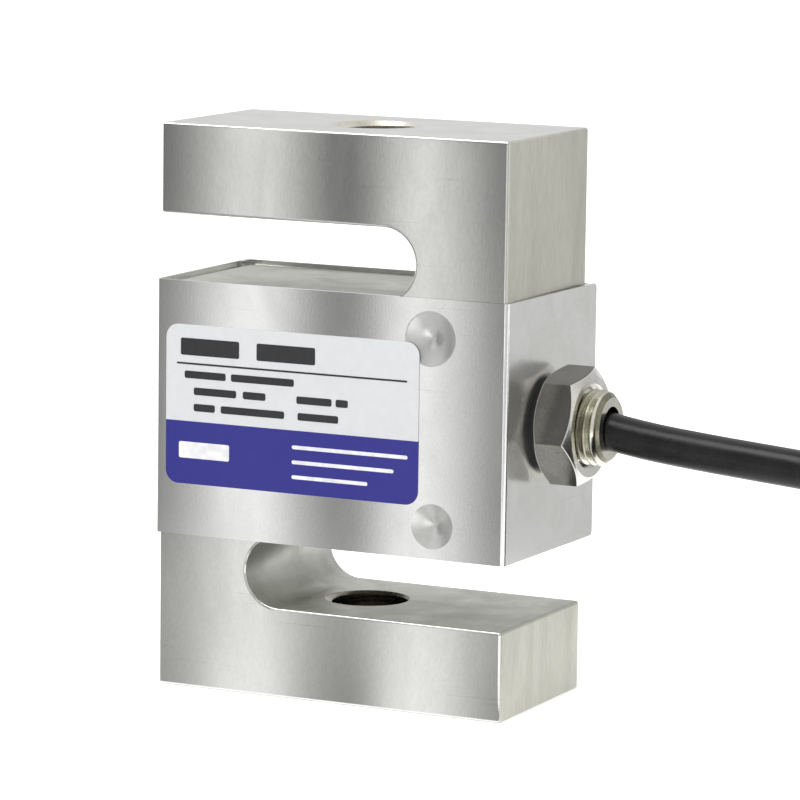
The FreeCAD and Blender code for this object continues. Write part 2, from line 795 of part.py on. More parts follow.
# The washer is squeezed between the leaning side of the front cover and the nut.
washer_ring = turned(
    "washer_ring",
    [
        (stud_radius, "0"),
        ("sizes.washer_width / 2", "0"),
        ("sizes.washer_width / 2", f"{NUT_FACE} - {HALF_WIDTH}"),
        (stud_radius, f"{NUT_FACE} - {HALF_WIDTH}"),
    ],
)
put_on_gland_axis(washer_ring, HALF_WIDTH)
lean = math.atan2(size(SPLAY), size(f"{FRONT_END} + {FRONT_FACE}"))
cover_side = doc.addObject("Part::Box", "washer_trim")
cover_side.setExpression("Length", "sizes.cell_width / 4")
cover_side.setExpression("Width", "2 * sizes.cell_depth")
cover_side.setExpression("Height", "sizes.cell_height")
cover_side.Placement = FreeCAD.Placement(
    Vector(size(FRONT_OUTER), -size(FRONT_FACE), 0), Rotation(ALONG_Z, -math.degrees(lean))
) * FreeCAD.Placement(Vector(-size("sizes.cell_width / 4"), 0, 0), Rotation())
washer = doc.addObject("Part::Cut", "gland_washer")
washer.Label = "gland_washer"
washer.Base = washer_ring
washer.Tool = cover_side
pieces.append(washer)

cable_radius = "sizes.cable_width / 2"
seal = turned(
    "gland_seal",
    [
        (cable_radius, "0"),
        (bore_radius, "0"),
        (bore_radius, "sizes.seal_length"),
        (cable_radius, "sizes.seal_length"),
    ],
)
put_on_gland_axis(seal, f"{SEAL_FACE} - sizes.seal_length")
pieces.append(seal)

# ---------------------------------------------------------------- cable inside the cell

jacket_end = "(sizes.wiring_offset + sizes.wiring_bore / 4)"
jacket = turned(
    "cable_inside",
    [
        ("0", "0"),
        (cable_radius, "0"),
        (cable_radius, f"{SEAL_FACE} - {jacket_end}"),
        ("0", f"{SEAL_FACE} - {jacket_end}"),
    ],
)
put_on_gland_axis(jacket, jacket_end)
pieces.append(jacket)

middle = size(MIDDLE)
core_offset = size("sizes.core_spacing / 2")
core_width = size("sizes.core_width")
jacket_x = size(jacket_end)
board_top = size(BOARD_TOP)
pads_y = -size(f"{WEB_FACE} + sizes.board_back + 0.28 * sizes.board_depth")
wiring_x = size("sizes.wiring_offset")
pad_pitch = size("sizes.board_width") * 3 / 14
level_pitch = core_width + 0.2

# Each core leaves the jacket, turns into the front pocket and drops to its own pad. The higher a
# core runs, the further it goes, so that none crosses another.
for rank, (colour, y_side, z_side, turn_x) in enumerate(
    (
        ("green", 1, -1, wiring_x - 1.2),
        ("black", -1, -1, wiring_x + 0.5),
        ("white", 1, 1, wiring_x - 1.2),
        ("red", -1, 1, wiring_x + 0.5),
    )
):
    start_y = y_side * core_offset
    start_z = middle + z_side * core_offset
    level = middle - 2.85 + rank * level_pitch
    pad_x = pad_pitch * (1.5 - rank)
    shape, _, _ = tube_shape(
        [
            (jacket_x, start_y, start_z),
            (turn_x, start_y, start_z),
            (turn_x, pads_y, level),
            (pad_x, pads_y, level),
            (pad_x, pads_y, board_top),
        ],
        core_width,
    )
    pieces.append(feature(f"tail_{colour}", shape))

lead_width = size("sizes.lead_width")
tab_pitch = size("sizes.tab_spacing")
tab_face = size(f"{WEB_FACE} + sizes.gauge_film + sizes.tab_thick")
tab_inset = size("sizes.gauge_height / 2 - sizes.tab_height")
board_back = size(BOARD_BACK)
lead_out = tab_face + lead_width / 2
leads = []
for place in range(4):
    x = tab_pitch * (place - 1.5)
    leads.append(
        tube_shape(
            [
                (x, -lead_out, middle - tab_inset),
                (x, -lead_out, board_top + 2.4),
                (x, -board_back - 0.6, board_top + 0.9),
                (x, -board_back - 0.6, board_top),
            ],
            lead_width,
        )[0]
    )
pieces.append(feature("front_leads", Part.makeCompound(leads)))

# The rear gauge's leads go round through the upper part of the wiring bore.
leads = []
lead_pitch = lead_width + 0.1
for place in range(4):
    x = tab_pitch * (place - 1.5)
    level = middle + 1.9 + lead_pitch * (3 - place)
    drop_x = size("sizes.board_width") / 2 - 0.4 - lead_pitch * (3 - place)
    drop_y = -board_back - size("sizes.board_depth") * 0.5
    back_y = lead_out + 0.9
    leads.append(
        tube_shape(
            [
                (x, lead_out, middle + tab_inset),
                (x, lead_out, level + 0.25),
                (x + 0.8, back_y, level),
                (wiring_x - 0.5, back_y, level),
                (wiring_x - 0.5, drop_y, level),
                (drop_x, drop_y, level),
                (drop_x, drop_y, board_top),
            ],
            lead_width,
        )[0]
    )
pieces.append(feature("rear_leads", Part.makeCompound(leads)))

# ---------------------------------------------------------------- cable outside the cell

cable_width = size("sizes.cable_width")
start_x = size(SEAL_FACE)
tie_thick = size("sizes.tie_thick")
hank_top = tie_thick + size("sizes.turn_pitch * sizes.hank_rows")
resting = hank_top + cable_width / 2 + 0.05

# From the gland it bows down over the near end of the hank and lies along the top of it.
CABLE_ROUTE = [
    (start_x - 0.5, 0.0, middle),
    (start_x + 10.0, -0.2, middle - 0.9),
    (start_x + 28.0, -2.0, middle - 2.7),
    (start_x + 47.0, -6.0, resting + 0.6),
    (start_x + 64.0, -7.6, resting + 0.1),
    (start_x + 79.0, -7.4, resting),
]
cable, cable_radii, cable_length = tube_shape(CABLE_ROUTE, cable_width)
inside_gland = Part.makeBox(10, 10, 10, Vector(start_x - 10, -5, middle - 5))
pieces.append(feature("cable", cable.cut(inside_gland)))
print("cable bend radii", [round(radius, 1) for radius in cable_radii])
print("cable length", round(cable_length, 1))

HANK_LEFT = "sizes.hank_lead"
HANK_RIGHT = "(sizes.hank_lead + sizes.hank_run)"
HANK_HEIGHT = "(sizes.turn_pitch * sizes.hank_rows)"
HANK_INSIDE = "(sizes.hank_bend - sizes.turn_pitch / 2)"
HANK_OUTSIDE = f"({HANK_INSIDE} + sizes.turn_pitch * sizes.hank_columns)"
hank = new_body("cable_hank")
pieces.append(hank)
turns = new_sketch(hank, "turns", "XY_Plane", "sizes.tie_thick")
add_racetrack(turns, HANK_LEFT, HANK_RIGHT, "sizes.hank_shift", HANK_OUTSIDE)
add_racetrack(turns, HANK_LEFT, HANK_RIGHT, "sizes.hank_shift", HANK_INSIDE)
extrude(hank, "Pad", turns, HANK_HEIGHT)

tie = new_body("hank_tie")
pieces.append(tie)
strap = new_sketch(tie, "strap", "YZ_Plane", f"{HANK_LEFT} + sizes.tie_along")
for grow in ("0", "sizes.tie_thick"):
    add_rectangle(
        strap,
        f"sizes.hank_shift - {HANK_OUTSIDE} - {grow}",
        f"sizes.tie_thick - {grow}",
        f"sizes.hank_shift + {HANK_OUTSIDE} + {grow}",
        f"sizes.tie_thick + {HANK_HEIGHT} + {grow}",
    )
extrude(tie, "Pad", strap, "sizes.tie_width")

# The free end lies in the middle of the hank: a shrink sleeve, then the bared cores.
SLEEVE_X = f"({HANK_LEFT} + sizes.sleeve_along)"
SLEEVE_Y = f"(sizes.hank_shift - {HANK_INSIDE} + sizes.sleeve_width / 2 + sizes.sleeve_gap)"
SLEEVE_Z = "(sizes.sleeve_width / 2 + sizes.sleeve_gap)"
sleeve = doc.addObject("Part::Cylinder", "end_sleeve")
sleeve.Label = "end_sleeve"
sleeve.setExpression("Radius", "sizes.sleeve_width / 2")
sleeve.setExpression("Height", "sizes.sleeve_length")
sleeve.Placement = FreeCAD.Placement(Vector(0, 0, 0), Rotation(ALONG_Y, 90))
for axis, place in zip("xyz", (SLEEVE_X, SLEEVE_Y, SLEEVE_Z)):
    sleeve.setExpression(f"Placement.Base.{axis}", place)
pieces.append(sleeve)

sleeve_end = size(f"{SLEEVE_X} + sizes.sleeve_length")
sleeve_y = size(SLEEVE_Y)
sleeve_z = size(SLEEVE_Z)
strand_width = size("sizes.strand_width")
strand_bare = size("sizes.strand_bare")
# Each core's share of its sideways and downward way at the route's inner points: the lower pair
# parts first, the drain wire drops between them, and the upper pair comes down last.
LOW_PAIR = ((0, 0), (0.6, 0.9), (0.9, 1.0))
DRAIN = ((0, 0), (0.4, 0.5), (0.85, 0.97))
HIGH_PAIR = ((0, 0), (0.35, 0.35), (0.8, 0.93))
for colour, y_side, z_side, spread, reach, shares in (
    ("black", -1, -1, -1.4, 30.0, LOW_PAIR),
    ("red", -1, 1, 0.5, 27.0, HIGH_PAIR),
    ("shield", 0, 0, 2.2, 21.0, DRAIN),
    ("green", 1, 1, 3.9, 25.0, HIGH_PAIR),
    ("white", 1, -1, 6.6, 28.0, LOW_PAIR),
):
    width = size("sizes.drain_width") if colour == "shield" else core_width
    start_y = sleeve_y + y_side * core_offset
    start_z = sleeve_z + z_side * core_offset
    drop = start_z - (tie_thick + width / 2 + 0.05)
    route = [(sleeve_end, start_y, start_z)]
    for ahead, (across, down) in zip((5.0, 11.0, 17.0), shares):
        route.append((sleeve_end + ahead, start_y + across * spread, start_z - down * drop))
    route.append((sleeve_end + reach, start_y + spread, start_z - drop))
    shape, _, _ = tube_shape(route, width)
    if colour != "shield":
        ahead = (Vector(*route[-1]) - Vector(*route[-2])).normalize()
        shape = shape.fuse(
            Part.makeCylinder(strand_width / 2, strand_bare, Vector(*route[-1]), ahead)
        )
    pieces.append(feature(f"end_{colour}", shape))

# ---------------------------------------------------------------- checks and export

doc.recompute()
failed = [item.Name for item in doc.Objects if {"Invalid", "Error"} & set(item.State)]
if failed:
    raise RuntimeError(f"objects failed: {failed}")
for piece in pieces:
    if piece.Shape.isNull() or not piece.Shape.isValid() or not piece.Shape.Solids:
        raise RuntimeError(f"{piece.Label} has no valid solid")

os.makedirs("parts", exist_ok=True)
for piece in pieces:
    piece.Shape.exportStep(f"parts/{piece.Label}.step")
    print(f"{piece.Label:22s} solids {len(piece.Shape.Solids)} volume {piece.Shape.Volume:10.2f}")
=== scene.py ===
# %% [markdown]
# # An S type load cell
#
# The load cell is one block of nickel plated steel, cut into an S by two round ended slots. Thin
# sheet covers wrap its middle, where the strain gauges sit, and a hexagon gland lets one black
# cable out. The solids of every piece come ready made, so this notebook gives them finishes, cuts
# the threads, prints the label and lays the cable. The steps go from the camera to the last lamp.

# %% Load the solids
import bmesh
import bpy
import math
from mathutils import Matrix, Vector


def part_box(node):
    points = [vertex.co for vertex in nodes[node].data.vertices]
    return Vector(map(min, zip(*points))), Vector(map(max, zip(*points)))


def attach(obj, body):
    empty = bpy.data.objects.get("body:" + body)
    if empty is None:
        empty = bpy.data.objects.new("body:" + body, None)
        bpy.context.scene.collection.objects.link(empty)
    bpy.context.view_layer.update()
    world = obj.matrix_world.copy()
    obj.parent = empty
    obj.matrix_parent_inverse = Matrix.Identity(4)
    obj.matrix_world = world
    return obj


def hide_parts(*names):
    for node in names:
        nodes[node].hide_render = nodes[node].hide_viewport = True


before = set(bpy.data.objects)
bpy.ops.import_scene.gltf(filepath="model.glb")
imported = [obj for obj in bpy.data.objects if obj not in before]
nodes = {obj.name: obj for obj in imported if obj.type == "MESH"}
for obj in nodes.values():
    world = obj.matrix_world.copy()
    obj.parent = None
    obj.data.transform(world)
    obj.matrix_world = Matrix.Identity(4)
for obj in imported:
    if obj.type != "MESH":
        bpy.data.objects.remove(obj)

MM = 0.001
scene = bpy.context.scene
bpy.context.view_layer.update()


def mm(*numbers):
    """A point given in millimetres, in metres."""
    return Vector(numbers) * MM


def put(name, data):
    """A new object, linked into the scene."""
    piece = bpy.data.objects.new(name, data)
    scene.collection.objects.link(piece)
    return piece


# %% [markdown]
# ## The camera
#
# The cell is seen from a little to its right and a little above, through a long lens, as a small
# product is. A long lens keeps the block's edges nearly parallel. The camera could track a target,
# but a place, a point to look at and a slight roll are enough.

# %% Camera
camera_place = mm(258.45, -525.05, 127.0)
camera_target = mm(4.19, 0.0, 39.48)
camera_roll = math.radians(0.798)
camera = put("camera", bpy.data.cameras.new("camera"))
camera.data.sensor_width = 36
camera.data.lens = 198.4
camera.data.clip_start = 0.01
camera.data.clip_end = 20
camera.location = camera_place
sight = camera_target - camera_place
level = sight.to_track_quat("-Z", "Y")
camera.rotation_mode = "QUATERNION"
camera.rotation_quaternion = level @ Matrix.Rotation(camera_roll, 3, "Z").to_quaternion()
bpy.context.scene.camera = camera
print("camera looks along", [round(part, 3) for part in sight.normalized()])

# %% [markdown]
# ## The cable
#
# A load cell like this has about three metres of shielded cable, and the makers ship it wound in a
# hank with a strap round it. The whole length is one curve here, so that its thickness and bends
# stay true everywhere. It leaves the gland level, bows down over the hank and drops into the top
# row, and then each lap lies in a slot of its own, two side by side and six high. A strand changes
# slot over a twelfth of a lap, and each change comes a twelfth of a lap earlier than the last one,
# so only one strand is ever between two slots. A mesh tube would do, but a curve keeps its length.

# %% The free length, from the gland to the hank
cable_width = 5.0
cable_exit = (33.0, 0.0, 38.1)
free_route = [
    cable_exit,
    (38.5, -0.05, 36.98),
    (50.0, -0.6, 35.95),
    (62.0, -2.1, 35.3),
    (80.0, -6.0, 34.5),
    (97.0, -7.6, 33.85),
]

# %% Where a lap of the hank runs
bend_x = (85.6, 156.6)
middle_y = 8.0
pitch = 5.1
column_radii = (15.5, 15.5 + pitch)
top_row, row_count = 28.65, 6
turns_from_x, first_change_x = 108.0, 112.0
straight = bend_x[1] - bend_x[0]
mean_bend = math.pi * (column_radii[0] + column_radii[1]) / 2
mean_lap = 2 * (straight + mean_bend)
change = 1 / 12
first_change = (first_change_x - bend_x[0]) / mean_lap
print("a lap is", round(mean_lap, 1), "mm on average, and the hank has", 2 * row_count, "slots")


def slot_of(number):
    """The bend radius and the height of a slot, counted from the lead on top of the hank."""
    if number < 0:
        return column_radii[0], top_row + pitch
    row = number // 2
    outer = (number + row) % 2
    return column_radii[outer], top_row - pitch * row


def place_on_lap(laps, bend_grow):
    """The point that many laps along the hank, its radius in the bends times bend_grow."""
    number = math.floor((laps - first_change) / (1 - change))
    since = laps - first_change - number * (1 - change)
    ease = min(since / change, 1.0)
    ease = ease * ease * (3 - 2 * ease)
    was, now = slot_of(number - 1), slot_of(number)
    radius = was[0] + (now[0] - was[0]) * ease
    height = was[1] + (now[1] - was[1]) * ease
    half_laps = laps % 1.0 * 2
    side = 1 if half_laps < 1 else -1
    along = half_laps % 1.0 * mean_lap / 2
    if along < straight:
        x, y = along - straight / 2, -radius
    else:
        turn = math.pi * ((along - straight) / mean_bend - 0.5)
        x = straight / 2 + radius * bend_grow * math.cos(turn)
        y = radius * bend_grow * math.sin(turn)
    return sum(bend_x) / 2 + side * x, middle_y + side * y, height


# %% The turns
# The curve runs inside its control points, so those of a bend stand a little outside it.
points_on_straight, points_on_bend = 5, 6
outside_a_bend = 1 / math.cos(math.pi / points_on_bend / 2)
half_lap = [straight * (step + 0.5) / points_on_straight for step in range(points_on_straight)]
half_lap += [straight + mean_bend * (step + 0.5) / points_on_bend for step in range(points_on_bend)]
turns = []
for lap in range(2 * row_count - 1):
    for laps in [lap + side + along / mean_lap for side in (0, 0.5) for along in half_lap]:
        if bend_x[0] + laps * mean_lap > turns_from_x:
            turns.append(place_on_lap(laps, outside_a_bend))
last_run = [(93.5, -6.9, 3.15), (103.0, -3.2, 3.12), (110.0, -1.95, 3.1), (118.0, -1.85, 3.1)]
print("control points in the turns", len(turns))

# %% One curve for the whole cable
cable_points = free_route + turns + last_run
line = bpy.data.curves.new("cable", "CURVE")
line.dimensions = "3D"
strand = line.splines.new("NURBS")
strand.points.add(len(cable_points) - 1)
for point, spot in zip(strand.points, cable_points):
    point.co = (*mm(*spot), 1.0)
    point.radius = cable_width / 2 * MM
strand.order_u = 3
strand.use_endpoint_u = True
line.resolution_u = 6
line.render_resolution_u = 6


def made_mesh(piece):
    """The mesh of an object as its modifiers leave it, with the object taken away."""
    bpy.context.view_layer.update()
    mesh = bpy.data.meshes.new_from_object(piece.evaluated_get(bpy.context.evaluated_depsgraph_get()))
    bpy.data.objects.remove(piece)
    return mesh


def length_of(curve):
    """How long a curve without a bevel is, in metres."""
    spots = [v.co for v in made_mesh(put("bare_line", curve)).vertices]
    return sum((b - a).length for a, b in zip(spots, spots[1:]))


print("cable length", round(length_of(line), 4), "m on", len(cable_points), "points")

# %% Give the curve its thickness
# Each point carries the radius, and a bevel of one metre is scaled by it.
line.bevel_depth = 1.0
line.bevel_resolution = 8
line.use_fill_caps = True
cable = put("cable_run", line)
print("cable spans", [round(side / MM) for side in cable.dimensions], "mm")

# %% [markdown]
# ## Copies that can be cut
#
# The solids come as loose triangles whose normals are already right. A piece that is to be cut or
# rounded needs joined corners, so a copy is merged first. Merging loses the normals, and plain
# smooth shading would bend the light on flat faces. A Weighted Normal modifier is the usual cure,
# but long thin triangles round a cut still catch the light. So the normals are settled here corner
# by corner: a corner of a large flat looks where the flat looks, and the rest are blended.

# %% Helpers: a merged copy, and a finished mesh
def merged_copy(node, name):
    """A copy of a solid with its corners joined."""
    work = bmesh.new()
    work.from_mesh(nodes[node].data)
    bmesh.ops.remove_doubles(work, verts=work.verts, dist=2e-7)
    mesh = bpy.data.meshes.new(name)
    work.to_mesh(mesh)
    work.free()
    return put(name, mesh)


def baked(piece, name):
    """The piece as its modifiers leave it, as a plain mesh under its own name."""
    mesh = made_mesh(piece)
    print(name, len(mesh.polygons), "faces")
    return put(name, mesh)


# %% Helper: normals that keep the flats flat
def settle_normals(piece, flat_mm2, blend=35):
    """Flats over flat_mm2 keep their direction, and faces that turn less than blend degrees blend."""
    mesh = piece.data
    mesh.shade_smooth()
    looks = [face.normal.copy() for face in mesh.polygons]
    areas = [face.area for face in mesh.polygons]
    planes = {}
    around = [[] for _ in mesh.vertices]
    for face in mesh.polygons:
        level = round(face.normal.dot(face.center) / MM, 1)
        key = (*(round(part, 2) for part in face.normal), level)
        planes.setdefault(key, []).append(face.index)
        for corner in face.vertices:
            around[corner].append(face.index)
    flat = set()
    for members in planes.values():
        if sum(areas[member] for member in members) > flat_mm2 * MM * MM:
            flat.update(members)
    nearly = math.cos(math.radians(blend))
    settled = []
    for face in mesh.polygons:
        for corner in face.vertices:
            near = [face.index]
            if face.index not in flat:
                near = [n for n in around[corner] if looks[n].dot(looks[face.index]) > nearly]
                near = [n for n in near if n in flat] or near
            mean = sum((looks[n] * areas[n] for n in near), Vector())
            settled.append(mean.normalized() if mean.length else looks[face.index])
    mesh.normals_split_custom_set(settled)
    print(piece.name, "flat faces", len(flat), "of", len(looks))


# %% [markdown]
# ## Finishes
#
# Every finish is a Principled shader whose colour, roughness and bump come from noise on Object
# coordinates, so a pattern keeps its scale in millimetres whatever piece it is on. An image would
# hold more detail, but noise can be read, changed and reused. The helpers below each add one link
# of that chain, and the finishes that follow are built from them.

# %% Helpers: the links of a finish
def new_finish(name, colour, metal=0.0, rough=0.5, **sockets):
    """A finish with one colour, and any other shader socket set on the shader itself."""
    finish = bpy.data.materials.new(name)
    finish.use_nodes = True
    shader = finish.node_tree.nodes["Principled BSDF"]
    shader.inputs["Base Color"].default_value = (*colour, 1)
    shader.inputs["Metallic"].default_value = metal
    shader.inputs["Roughness"].default_value = rough
    for socket, value in sockets.items():
        shader.inputs[socket.replace("_", " ")].default_value = value
    return finish


def add_node(finish, kind, **settings):
    """A new node of a finish."""
    node = finish.node_tree.nodes.new(kind)
    for name, value in settings.items():
        setattr(node, name, value)
    return node


def spots_on(finish, per_mm, turn=(0, 0, 0)):
    """Object coordinates with that many lumps to a millimetre, along all axes or each, and turned."""
    scale = (per_mm,) * 3 if isinstance(per_mm, (int, float)) else per_mm
    where = add_node(finish, "ShaderNodeTexCoord")
    fit = add_node(finish, "ShaderNodeMapping")
    fit.inputs["Scale"].default_value = [value / MM for value in scale]
    fit.inputs["Rotation"].default_value = [math.radians(value) for value in turn]
    finish.node_tree.links.new(where.outputs["Object"], fit.inputs["Vector"])
    return fit.outputs["Vector"]


def noise_on(finish, spots, detail=3.0, lean=0.5, warp=0.0):
    """Noise from 0 to 1, one lump per unit of its coordinates."""
    noise = add_node(finish, "ShaderNodeTexNoise")
    noise.inputs["Scale"].default_value = 1.0
    noise.inputs["Detail"].default_value = detail
    noise.inputs["Roughness"].default_value = lean
    noise.inputs["Distortion"].default_value = warp
    finish.node_tree.links.new(spots, noise.inputs["Vector"])
    return noise.outputs["Fac"]


def stepped(finish, value, *stops):
    """A colour ramp over the value: stops are (place, colour or grey)."""
    ramp = add_node(finish, "ShaderNodeValToRGB").color_ramp
    node = finish.node_tree.nodes[-1]
    while len(ramp.elements) < len(stops):
        ramp.elements.new(0.5)
    for element, (place, colour) in zip(ramp.elements, sorted(stops, key=lambda stop: stop[0])):
        element.position = place
        element.color = (colour,) * 3 + (1,) if isinstance(colour, (int, float)) else (*colour, 1)
    finish.node_tree.links.new(value, node.inputs["Fac"])
    return node.outputs["Color"]


def multiplied(finish, first, second):
    """Two colours multiplied."""
    mix = add_node(finish, "ShaderNodeMix", data_type="RGBA", blend_type="MULTIPLY")
    mix.inputs["Factor"].default_value = 1.0
    colours = [socket for socket in mix.inputs if socket.type == "RGBA"]
    for socket, value in zip(colours, (first, second)):
        finish.node_tree.links.new(value, socket)
    return next(socket for socket in mix.outputs if socket.type == "RGBA")


def feed(finish, socket, value):
    """Links a value to a socket of the finish's shader."""
    shader = finish.node_tree.nodes["Principled BSDF"]
    finish.node_tree.links.new(value, shader.inputs[socket])


def bump_from(finish, height, depth_mm):
    """Small relief, that many millimetres deep."""
    bump = add_node(finish, "ShaderNodeBump")
    bump.inputs["Distance"].default_value = depth_mm * MM
    finish.node_tree.links.new(height, bump.inputs["Height"])
    feed(finish, "Normal", bump.outputs["Normal"])


def lay(piece, *finishes):
    """Gives a piece these finishes in place of those it has."""
    piece.data.materials.clear()
    for finish in finishes:
        piece.data.materials.append(finish)


def dress(node, finish):
    """Gives a ready made solid its finish."""
    lay(nodes[node], finish)


# %% [markdown]
# ## Steel
#
# The block is ground on its two large faces, milled on its narrow ones, and nickel plated all over,
# so the same metal is bright in front and matt at the sides. The covers are thin cold rolled sheet
# with a smoother face. Each steel has fine flecks and soft stains, and the broad faces have a few
# long scratches. A scan of real plate would be truer, but these patterns can be set for each face.

# %% Helper: plated steel
scratch_turns = ((0, 24, 0), (0, -61, 0), (0, 83, 0))


def steel(name, light, dark, rough, streak=1.0, fleck=0.05, relief=0.003, scratch=0.0):
    """Metal between two tones: streak is how far lumps stretch along Z, fleck how strong they are."""
    finish = new_finish(name, light, 1.0, rough[0])
    stain = noise_on(finish, spots_on(finish, (0.16, 0.16, 0.16 / streak)), 4, 0.55, 0.6)
    tone = stepped(finish, stain, (0.3, dark), (0.66, light))
    speck = noise_on(finish, spots_on(finish, (3.2, 3.2, 3.2 / streak)), 2, 0.7)
    tone = multiplied(finish, tone, stepped(finish, speck, (0.3, 1 - fleck), (0.62, 1.0)))
    if scratch:
        for turn in scratch_turns:
            stroke = noise_on(finish, spots_on(finish, (0.06, 0.06, 2.6), turn), 1, 0.4)
            tone = multiplied(finish, tone, stepped(finish, stroke, (0.745, 1.0), (0.765, 1 - scratch)))
    feed(finish, "Base Color", tone)
    feed(finish, "Roughness", stepped(finish, stain, (0.3, rough[1]), (0.7, rough[0])))
    grain = noise_on(finish, spots_on(finish, (5.0, 5.0, 5.0 / streak)), 3, 0.6)
    bump_from(finish, grain, relief)
    return finish


# %% The block's steels
ground_face = steel(
    "ground_face", (0.665, 0.665, 0.642), (0.615, 0.615, 0.59), (0.14, 0.18),
    streak=2.5, fleck=0.06, relief=0.002, scratch=0.06,
)
milled_side = steel(
    "milled_side", (0.66, 0.66, 0.59), (0.56, 0.56, 0.49), (0.42, 0.5),
    streak=6.0, fleck=0.10, relief=0.010,
)
slot_wall = steel(
    "slot_wall", (0.56, 0.565, 0.52), (0.46, 0.465, 0.42), (0.40, 0.48), fleck=0.08, relief=0.008,
)
flat_top = steel("flat_top", (0.54, 0.54, 0.525), (0.50, 0.50, 0.48), (0.30, 0.36), relief=0.004)
thread_steel = steel(
    "thread_steel", (0.72, 0.71, 0.64), (0.52, 0.50, 0.42), (0.28, 0.4), fleck=0.15, relief=0.006,
)
# A darker copy of the thread steel for the lower hole: painted shade from the block's middle above it.
painted_shade_thread = steel(
    "painted_shade_thread", (0.36, 0.33, 0.27), (0.16, 0.14, 0.11), (0.22, 0.32), fleck=0.2, relief=0.006,
)
block_steels = (ground_face, milled_side, slot_wall, flat_top, thread_steel, painted_shade_thread)
print("block", [finish.name for finish in block_steels])

# %% The covers' steels
front_sheet = steel(
    "front_sheet", (0.75, 0.75, 0.737), (0.705, 0.705, 0.692), (0.12, 0.16),
    streak=1.5, fleck=0.04, scratch=0.05,
)
# The dimples' steel is darker than the front's: painted shade in the dimples.
painted_shade_dish = steel("painted_shade_dish", (0.62, 0.62, 0.605), (0.56, 0.56, 0.54), (0.32, 0.38), relief=0.001)
# The sides' steel is a lighter copy of the front's: painted light on the faces that look to the right.
painted_light_side_sheet = steel(
    "painted_light_side_sheet", (0.84, 0.84, 0.82), (0.75, 0.75, 0.725), (0.19, 0.27), relief=0.0012, scratch=0.04,
)
rear_sheet = steel(
    "rear_sheet", (0.72, 0.72, 0.707), (0.67, 0.67, 0.655), (0.17, 0.21),
    streak=1.5, fleck=0.04, scratch=0.05,
)
dress("rear_cover", rear_sheet)
print("covers", [finish.name for finish in (front_sheet, painted_shade_dish, painted_light_side_sheet, rear_sheet)])

# %% [markdown]
# ## Threads
#
# Both load holes are tapped M12, and the gland's stud has a fine M10 thread. A thread is one groove
# that follows a helix, so Geometry Nodes sweep the groove's section along a Spiral, and a Boolean
# cuts it as a tap or a die does. A bump pattern would be lighter, but the thread shows in outline
# at the mouth of each hole and along the stud.

# %% Helpers: a node tree with named inputs, and a piece made by it
def new_tree(name, **kinds):
    """A node tree with these inputs and a finish, with its input sockets and its link maker."""
    tree = bpy.data.node_groups.new(name, "GeometryNodeTree")
    for label, kind in (*kinds.items(), ("finish", "Material")):
        tree.interface.new_socket(label, in_out="INPUT", socket_type="NodeSocket" + kind)
    tree.interface.new_socket("Geometry", in_out="OUTPUT", socket_type="NodeSocketGeometry")
    return tree, tree.nodes.new("NodeGroupInput").outputs, tree.links.new


def end_tree(tree, geometry, finish):
    """Makes a tree's copies real, gives them their finish and hands them out."""
    real = tree.nodes.new("GeometryNodeRealizeInstances")
    coat = tree.nodes.new("GeometryNodeSetMaterial")
    taken = tree.nodes.new("NodeGroupOutput")
    tree.links.new(geometry, real.inputs["Geometry"])
    tree.links.new(real.outputs["Geometry"], coat.inputs["Geometry"])
    tree.links.new(finish, coat.inputs["Material"])
    tree.links.new(coat.outputs["Geometry"], taken.inputs["Geometry"])


def made_by(tree, name, finish, **values):
    """The plain mesh that a tree makes with these values, lengths in metres."""
    piece = put(name, bpy.data.meshes.new(name))
    modifier = piece.modifiers.new(tree.name, "NODES")
    modifier.node_group = tree
    sockets = {item.name: item.identifier for item in tree.interface.items_tree}
    for label, value in (*values.items(), ("finish", finish)):
        modifier[sockets[label]] = value
    return baked(piece, name)


# %% The groove as a node tree
def groove_tree():
    """A node tree that sweeps a four cornered section along a helix about Z."""
    tree, given, join = new_tree(
        "thread_groove", pitch="Float", turns="Float", wide_radius="Float", deep_radius="Float",
        wide_width="Float", deep_width="Float", steps="Int",
    )

    def maths(operation, first, second):
        node = tree.nodes.new("ShaderNodeMath")
        node.operation = operation
        for socket, value in zip(node.inputs, (first, second)):
            if isinstance(value, (int, float)):
                socket.default_value = value
            else:
                join(value, socket)
        return node.outputs["Value"]

    def corner(along, across=None):
        node = tree.nodes.new("ShaderNodeCombineXYZ")
        join(along, node.inputs["Y"])
        if across:
            join(across, node.inputs["X"])
        return node.outputs["Vector"]

    spiral = tree.nodes.new("GeometryNodeCurveSpiral")
    join(given["steps"], spiral.inputs["Resolution"])
    join(given["turns"], spiral.inputs["Rotations"])
    join(given["wide_radius"], spiral.inputs["Start Radius"])
    join(given["wide_radius"], spiral.inputs["End Radius"])
    join(maths("MULTIPLY", given["pitch"], given["turns"]), spiral.inputs["Height"])
    upright = tree.nodes.new("GeometryNodeSetCurveNormal")
    upright.mode = "Z_UP"
    join(spiral.outputs["Curve"], upright.inputs["Curve"])
    section = tree.nodes.new("GeometryNodeCurvePrimitiveQuadrilateral")
    section.mode = "POINTS"
    deep = maths("SUBTRACT", given["wide_radius"], given["deep_radius"])
    wide_half = maths("MULTIPLY", given["wide_width"], 0.5)
    deep_half = maths("MULTIPLY", given["deep_width"], 0.5)
    corners = (
        corner(wide_half), corner(maths("MULTIPLY", wide_half, -1.0)),
        corner(maths("MULTIPLY", deep_half, -1.0), deep), corner(deep_half, deep),
    )
    for number, place in enumerate(corners):
        join(place, section.inputs[f"Point {number + 1}"])
    sweep = tree.nodes.new("GeometryNodeCurveToMesh")
    sweep.inputs["Fill Caps"].default_value = True
    join(upright.outputs["Curve"], sweep.inputs["Curve"])
    join(section.outputs["Curve"], sweep.inputs["Profile Curve"])
    end_tree(tree, sweep.outputs["Mesh"], given["finish"])
    return tree


# %% Helpers: one groove as a cutter, and the cut
grooves = groove_tree()


